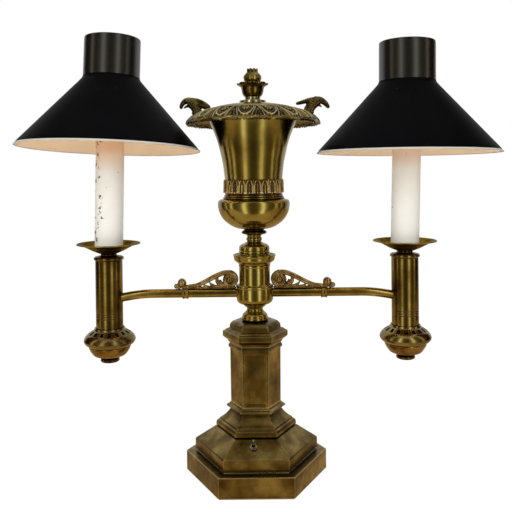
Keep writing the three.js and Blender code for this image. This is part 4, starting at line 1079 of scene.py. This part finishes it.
def moulded(name, tones, roughness, cloud):
    """Moulded plastic: two tones in clouds, with a skin that is a little uneven."""
    made, tree = new_material(name)
    where = put(tree, "TexCoord").outputs["Object"]
    drift = put(tree, "TexNoise", {"Vector": where, "Scale": 1 / (cloud * MM), "Detail": 4})
    fine = put(tree, "TexNoise", {"Vector": where, "Scale": 1 / (2 * MM), "Detail": 6,
                                  "Roughness": 0.75})
    tone = put(tree, "MixRGB", [drift, tones[0], tones[1]])
    rough = put(tree, "MapRange", [drift, 0, 1, roughness * 0.8, roughness * 1.2])
    bump = put(tree, "Bump", {"Height": fine, "Distance": 0.02 * MM})
    skin = put(tree, "BsdfPrincipled", {"Base Color": tone, "Roughness": rough, "Normal": bump})
    put(tree, "OutputMaterial", {"Surface": skin})
    return made


# Moulded phenolic, the black of old switches and sockets: half dull.
phenolic = moulded("black_phenolic", ("#121213", "#242325"), 0.42, 5)

plain_nodes = {
    mild_steel: ["tie_rod", "rod_nut_base", "rod_nut_hub", "urn_rod", "urn_nut", "finial_stud",
                 "socket_nipple_left", "socket_nipple_right"],
    cotton: ["lead_left", "lead_right"],
    phenolic: ["switch_body"],
}
for material, names in plain_nodes.items():
    for name in names:
        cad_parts[name].data.materials.clear()
        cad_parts[name].data.materials.append(material)

bushing_level = 11.5
bushing_loop = softened([
    (3.6, 65), (5.2, 65), (5.2, 69.6), (7.5, 69.6), (7.5, 70.4), (5.4, 71.3), (4.2, 71.3),
    (3.6, 70.6),
], 0.4, closed=True)
bushing = turned(bushing_loop, 48)
bushing = np.stack((bushing[..., 0], bushing[..., 2], bushing_level + bushing[..., 1]), -1)
settle(surface("cord_bushing_moulding", bushing, loop=True),
       "root", phenolic, "black_plastic", "cord_bushing")


# Burners
# Each is a tube with a turned top, brazed on a pressed gallery with sixteen air holes. A drip cup
# is pushed up into the gallery, and a spun dish stands on the tube.

burner_foot, dish_level = 163.4, 250.5
gallery_foot, gallery_top = 146.2, 166.2
gallery_wall = 1.2
hole_count, hole_inner, hole_outer, hole_width, hole_floor = 16, 18.9, 23.8, 4.4, 157
hole_ring = 22

burner_loop = softened([
    (13.8, burner_foot), (burner_radius, burner_foot), (burner_radius, 177.4), (14.4, 177.7),
    (burner_radius, 178), (burner_radius, 180.3), (14.4, 180.6), (burner_radius, 180.9),
    (burner_radius, 182.9), (14.4, 183.2), (burner_radius, 183.5), (burner_radius, 242.6),
    (15, 243.2), (15.6, 243.8), (16.9, 244.6), (16.9, 246.6), (15.6, 247.8), (12.2, 248.5),
    (9.2, 249.2), (8.9, dish_level), (5.1, dish_level), (5.1, 244.4), (13.8, 244.4),
], 0.5, closed=True)

gallery_profile = softened([
    (24.4, gallery_foot), (26, 147.3), (27.9, 148.9), (29.2, 151.4), (29.2, 152.9), (28.2, 155.4),
    (26.2, 158.2), (24.3, 159.6), (hole_outer, 159.9), (hole_inner, 163.3), (18, 163.8),
    (17.4, 164.2), (17, gallery_top),
], [0.5, 2, 2, 2, 2, 1, 1.4, 0.3, 0.1, 0.1, 0.8, 0.6, 0.5], 6)

knob_profile = softened([
    (0, 127.2), (8.8, 126.8), (10.7, 127.8), (10.7, 130.2), (9.8, 131.4), (8.5, 132), (8.5, 134.4),
    (0, 134.4),
], [0.5, 1, 1, 0.8, 0.6, 0.5, 0.3, 0.3])
cup_profile = softened([
    (0, 134.2), (16.4, 134.2), (18.6, 135.6), (21.2, 139.2), (22.7, 141.8), (23.7, 144.2),
    (23.7, 145.9), (21.6, gallery_foot), (21.6, 147.2), (20.2, 147.2), (20.2, 141.8), (14.6, 135.7),
    (0, 135.7),
], [0.5, 1.4, 1.4, 2, 2, 1, 0.5, 0.4, 0.4, 0.4, 2, 2, 0.5])

dish_loop = softened([
    (5.2, 250.6), (8.4, 250.6), (9.4, 251), (16.6, 253.8), (28.8, 260.4), (33.6, 261.2),
    (36, 261.9), (36, 262.7), (35, 263.2), (33, 262.9), (28.6, 261.8), (16.2, 254.9), (9.8, 252.2),
    (5.2, 252),
], [0.3, 0.5, 0.8, 3, 2, 1, 0.5, 0.5, 0.5, 1, 2, 3, 1, 0.3], 6, closed=True)


def punched(name, grid, wall, gone):
    """A sheet with its wall, on an open grid that closes round, without the quads that are gone."""
    made = placed(name, grid_mesh(name, grid, quads_on(numbered(grid))[~gone]))
    solid = made.modifiers.new("wall", "SOLIDIFY")
    solid.thickness, solid.offset, solid.use_even_offset = wall * MM, -1, True
    finished(made).data.set_sharp_from_angle(angle=np.radians(crease_degrees))
    return made


# Three tones of turned and spun brass: olive tube and gallery, amber cup, and a browner dish
# whose shine is dull at its edge.
burner_brass = aged_metal("spun_brass_olive", ("#4a3a16", "#705d2b", "#8c7841"), 0.22, 30, 0.8,
                          speck=1.2, wear_and_highlight=0.25, reach=2.5)
cup_brass = aged_metal("spun_brass_amber", ("#5a4319", "#8b6a30", "#a88a50"), 0.26, 16, 0.8,
                       speck=1.2)
dish_brass = aged_metal("spun_brass_brown", ("#4a3f20", "#746436", "#988552"), 0.28, 18, 0.9,
                        speck=1.5, wear_and_highlight=0.4, edge="#beb18a", reach=4)
gallery_columns = hole_count * 12
hole_angle = ring_angles(gallery_columns)
for side, sign, reach in arms:
    aside = sign * reach
    settle(surface(f"burner_turning_{side}", turned(burner_loop, 96, aside), loop=True),
           "root", burner_brass, "brass", f"burner_tube_{side}")
    gallery = turned(gallery_profile, gallery_columns, aside)
    radius = gallery_profile[:, 0]
    beside = np.abs((hole_angle + TURN / gallery_columns / 2) * hole_count / TURN % 1 - 0.5)
    across_hole = beside < hole_width / 2 / hole_ring * hole_count / TURN
    down_hole = ((np.minimum(radius[:-1], radius[1:]) > hole_inner - 0.1)
                 & (np.maximum(radius[:-1], radius[1:]) < hole_outer + 0.1)
                 & (gallery_profile[:-1, 1] > hole_floor))
    gone = down_hole[:, None] & across_hole
    settle(punched(f"gallery_pressing_{side}", gallery, gallery_wall, gone),
           "root", burner_brass, "brass", f"air_gallery_{side}")
    settle(surface(f"drip_cup_spinning_{side}", turned(cup_profile, 96, aside)),
           f"cup_{side}", cup_brass, "brass", f"drip_cup_{side}")
    settle(surface(f"drip_cup_knob_{side}", turned(knob_profile, 72, aside)),
           f"cup_{side}", dark_brass, "brass")
    settle(surface(f"drip_dish_spinning_{side}", turned(dish_loop, 128, aside), loop=True),
           "root", dish_brass, "brass", f"drip_dish_{side}")


# Candles
# A white card sleeve over a black socket on a steel nipple. The nipples aren't straight, so each
# candle leans a little to the right. The bulbs' frosted glass glows faintly.

candle_radius, candle_bore = 16, 14.8
candle_foot, candle_top = 4.7, 131.7
candle_lean = np.radians(1.5)
glow_start, glow_full = 344, 378
scuff_start, scuff_full = -164, -176


def carried(grid, place):
    """A grid moved by a 4 by 4 matrix whose lengths are millimetres."""
    place = np.array(place)
    return grid @ place[:3, :3].T + place[:3, 3]


# Card painted white, scuffed to the dark on the outer side of the left one, and tinted warm
# towards the bulbs as painted lamplight, from 38 mm below the sleeves' tops.
white_card, tree = new_material("white_card_sleeve")
where = put(tree, "TexCoord").outputs["Object"]
place = put(tree, "SeparateXYZ", {"Vector": where})
drift = put(tree, "TexNoise", {"Vector": where, "Scale": 1 / (18 * MM), "Detail": 4})
fine = put(tree, "TexNoise", {"Vector": where, "Scale": 1 / (7 * MM), "Detail": 5,
                              "Roughness": 0.66})
paper = put(tree, "MixRGB", [drift, "#d2cfc6", "#dedcd5"])
# A painted glow from the lit bulbs: the card turns warm towards its top.
painted_bulb_glow = put(tree, "MapRange", [place.outputs["Z"], glow_start * MM, glow_full * MM, 0, 0.85])
warm = put(tree, "MixRGB", [painted_bulb_glow, paper, "#e0ab76"])
outer = put(tree, "MapRange", [place.outputs["X"], scuff_start * MM, scuff_full * MM, 0, 0.12])
scuff = put(tree, "Math", [fine, outer], operation="ADD")
bare = put(tree, "MapRange", [scuff, 0.685, 0.7])
tone = put(tree, "MixRGB", [bare, warm, "#3d382f"])
bump = put(tree, "Bump", {"Height": fine, "Distance": 0.02 * MM})
skin = put(tree, "BsdfPrincipled", {"Base Color": tone, "Roughness": 0.6,
                                    "Specular IOR Level": 0.25, "Normal": bump})
put(tree, "OutputMaterial", {"Surface": skin})

# Glass etched inside: a warm, even glow with no clear reflection.
frosted, tree = new_material("frosted_bulb_glass")
where = put(tree, "TexCoord").outputs["Object"]
etch = put(tree, "TexNoise", {"Vector": where, "Scale": 1 / (1.5 * MM), "Detail": 3})
tone = put(tree, "MixRGB", [etch, "#f6e7c6", "#fff6e2"])
glass = put(tree, "BsdfPrincipled", {"Base Color": tone, "Roughness": 0.3,
                                     "Emission Color": "#ffd9a0", "Emission Strength": 1.6})
put(tree, "OutputMaterial", {"Surface": glass})

socket_loop = softened([
    (5, 97.7), (10.9, 97.7), (14.2, 103.7), (14.2, candle_top), (13.4, candle_top), (13.4, 103.8),
    (5, 103.8),
], 0.6, closed=True)
sleeve_loop = softened([
    (candle_radius, candle_foot), (candle_radius, candle_top), (candle_bore, candle_top),
    (candle_bore, candle_foot),
], 0.35, closed=True)
bulb_profile = softened([
    (0, 107.9), (6.4, 107.9), (12.7, 112.6), (12.7, 131), (12.2, 131.9), (13.4, 140), (15, 153),
    (15, 165.5), (13.9, 174), (10.6, 179.8), (5.6, 182.6), (0, 182.8),
], [0.5, 1, 1, 0.6, 0.6, 6, 6, 6, 4, 3, 3, 1], 8)

leans = {}
for side, sign, reach in arms:
    lean = Matrix.Translation((sign * reach, 0, dish_level)) @ Matrix.Rotation(candle_lean, 4, "Y")
    leans[side] = lean
    settle(surface(f"sleeve_tube_{side}", carried(turned(sleeve_loop), lean), loop=True),
           "root", white_card, "white_sleeve", f"candle_sleeve_{side}")
    settle(surface(f"socket_moulding_{side}", carried(turned(socket_loop, 64), lean), loop=True),
           "root", phenolic, "black_plastic", f"socket_{side}")
    settle(surface(f"bulb_glass_{side}", carried(turned(bulb_profile, 64), lean)),
           f"lamp_{side}", frosted, "frosted_glass", f"bulb_{side}")


# Shade clips
# A sprung wire hoop sits on the bulb's shoulder. Three wires rise from it to a disc, whose post
# goes up through the middle of the shade.

hoop_radius, wire_radius = 16, 0.9
clip_height, disc_top, disc_bottom = 36.2, 36.6, 35.2
clip_levels = {"left": (165, -2.4, 0.5), "right": (157, -0.2, -1.1)}

hoop_angle = ring_angles(24)
hoop_loop = np.column_stack((hoop_radius + wire_radius * np.cos(hoop_angle),
                             wire_radius * np.sin(hoop_angle)))
post_loop = softened([
    (0, disc_bottom), (8, disc_bottom), (8, disc_top), (2.2, disc_top), (2.2, 41), (1.4, 41.6),
    (0, 41.6),
], 0.35)
wire = curve([(hoop_radius, 0), (hoop_radius, 19.9), (13.6, 28.2), (4.8, 35.9)], 40)
third_turns = [TURN / 4 + number * TURN / 3 for number in range(3)]
holds = {}
for side, sign, reach in arms:
    level, back, right = clip_levels[side]
    holds[side] = leans[side] @ Matrix.Translation((0, 0, level))
    for degrees, axis in ((back, "X"), (right, "Y")):
        holds[side] = holds[side] @ Matrix.Rotation(np.radians(degrees), 4, axis)
    parts = [surface(f"clip_hoop_{side}", carried(turned(hoop_loop, 72), holds[side]), loop=True),
             surface(f"clip_post_{side}", carried(turned(post_loop, 40), holds[side]))]
    for number, angle in enumerate(third_turns):
        path = around(wire[:, 0], wire[:, 1], angle)
        bar = piped(path, wire_radius, (-np.sin(angle), np.cos(angle), 0), 16)
        parts.append(surface(f"clip_wire_{side}_{number}", carried(bar, holds[side])))
    for part in parts:
        settle(part, f"clip_{side}", nickel, "steel", f"bulb_clip_{side}")


# Shades
# Spun steel, a wide cone under a short collar. Black enamel outside, glossier on the collar, and
# warm cream inside, with a pale rolled rim. A three-armed spider in the neck hangs it on the
# clip's post.

collar_height = 45.5
shade_wall, shade_sides = 0.8, 160
cone_foot, cone_head = 98, 35
lip_outside, lip_inside = 101.9, 102.8

shade_profile = softened([
    (103.2, -81.1), (103.7, -80.4), (102.2, -79.2), (99.6, -75.8), (33.4, -2.3), (31.9, 0.6),
    (31.8, 44.4), (31.4, collar_height),
], [0.3, 0.6, 1.2, 2, 3, 3, 0.8, 0.3], 7)
cone_out = np.linspace(cone_foot, cone_head, 30)
shade_outside = np.vstack((
    shade_profile[shade_profile[:, 0] > cone_foot + 0.4],
    np.column_stack((cone_out, np.interp(cone_out, (33.4, 99.4), (-2.3, -75.6)))),
    shade_profile[shade_profile[:, 0] < cone_head - 0.4],
))
seam = np.argmax(shade_outside[:, 1] > 0.6)
shade_parts = {"cone": shade_outside[: seam + 1], "collar": shade_outside[seam:]}


def enamelled(name, gloss, roughness):
    """Stove enamel: black outside, cream inside and a pale lip, by the trait, with a few chips."""
    made, tree = new_material(name)
    where = put(tree, "TexCoord").outputs["Object"]
    trait = put(tree, "Attribute", attribute_name="trait").outputs["Fac"]
    drift = put(tree, "TexNoise", {"Vector": where, "Scale": 1 / (40 * MM), "Detail": 4})
    fine = put(tree, "TexNoise", {"Vector": where, "Scale": 1 / (2.2 * MM), "Detail": 6,
                                  "Roughness": 0.7})
    black = put(tree, "MixRGB", [drift, "#020203", "#060607"])
    cream = put(tree, "MixRGB", [drift, "#dfc09a", "#ecd2b0"])
    lip = put(tree, "MapRange", [trait, 0.2, 0.3])
    deep = put(tree, "MapRange", [trait, 0.7, 0.8])
    tone = put(tree, "MixRGB", [lip, black, "#a29d92"])
    tone = put(tree, "MixRGB", [deep, tone, cream])
    chipped = put(tree, "MapRange", [fine, 0.7, 0.71])
    under = put(tree, "MixRGB", [lip, "#6d675e", "#26211b"])
    tone = put(tree, "MixRGB", [chipped, tone, under])
    bump = put(tree, "Bump", {"Height": fine, "Distance": 0.02 * MM})
    skin = put(tree, "BsdfPrincipled", {"Base Color": tone, "Roughness": roughness,
                                        "Specular IOR Level": gloss, "Normal": bump})
    put(tree, "OutputMaterial", {"Surface": skin})
    return made


enamels = {"cone": enamelled("black_enamel_cream_inside", 0.02, 0.42),
           "collar": enamelled("black_enamel_polished", 0.8, 0.27)}
spider_bottom, spider_top = 0.5, 1.7
spider_loop = softened([
    (2.3, spider_bottom), (7, spider_bottom), (7, spider_top), (2.3, spider_top),
], 0.3, closed=True)
strip = softened([
    (-3, spider_bottom), (3, spider_bottom), (3, spider_top), (-3, spider_top),
], 0.35, closed=True)
out = np.linspace(6.4, 31.1, 12)[:, None]
strut = np.stack((out + 0 * strip[:, 0], strip[:, 0] + 0 * out, strip[:, 1] + 0 * out), -1)
ends = np.repeat(strut[[0, -1]].mean(1, keepdims=True), len(strip), 1)
strut = np.concatenate((ends[:1], strut, ends[1:]))

for side, sign, reach in arms:
    cover = holds[side] @ Matrix.Translation((0, 0, clip_height))
    for part, outside in shade_parts.items():
        rows = len(outside)
        inside = np.repeat((0.0, 1.0), rows)
        inside[:rows][outside[:, 0] > lip_outside] = 0.5
        inside[rows:][outside[::-1, 0] > lip_inside] = 0.5
        inside[rows if part == "cone" else -1] = 0
        shell = carried(turned(walled(outside, shade_wall), shade_sides), cover)
        trait = np.repeat(inside, shade_sides)
        settle(surface(f"shade_{part}_{side}", shell, loop=True, trait=trait),
               f"shade_{side}", enamels[part], "black_paint", *[f"shade_{side}"] * (part == "cone"))
    settle(surface(f"spider_hub_{side}", carried(turned(spider_loop, 40), cover), loop=True),
           f"shade_{side}", mild_steel, "black_paint")
    for number, angle in enumerate(third_turns):
        turn = cover @ Matrix.Rotation(angle, 4, "Z")
        settle(surface(f"spider_strut_{side}_{number}", carried(strut, turn)),
               f"shade_{side}", mild_steel, "black_paint")


# Finish. The colours are shown as they are.

bpy.context.scene.view_settings.view_transform = "Standard"
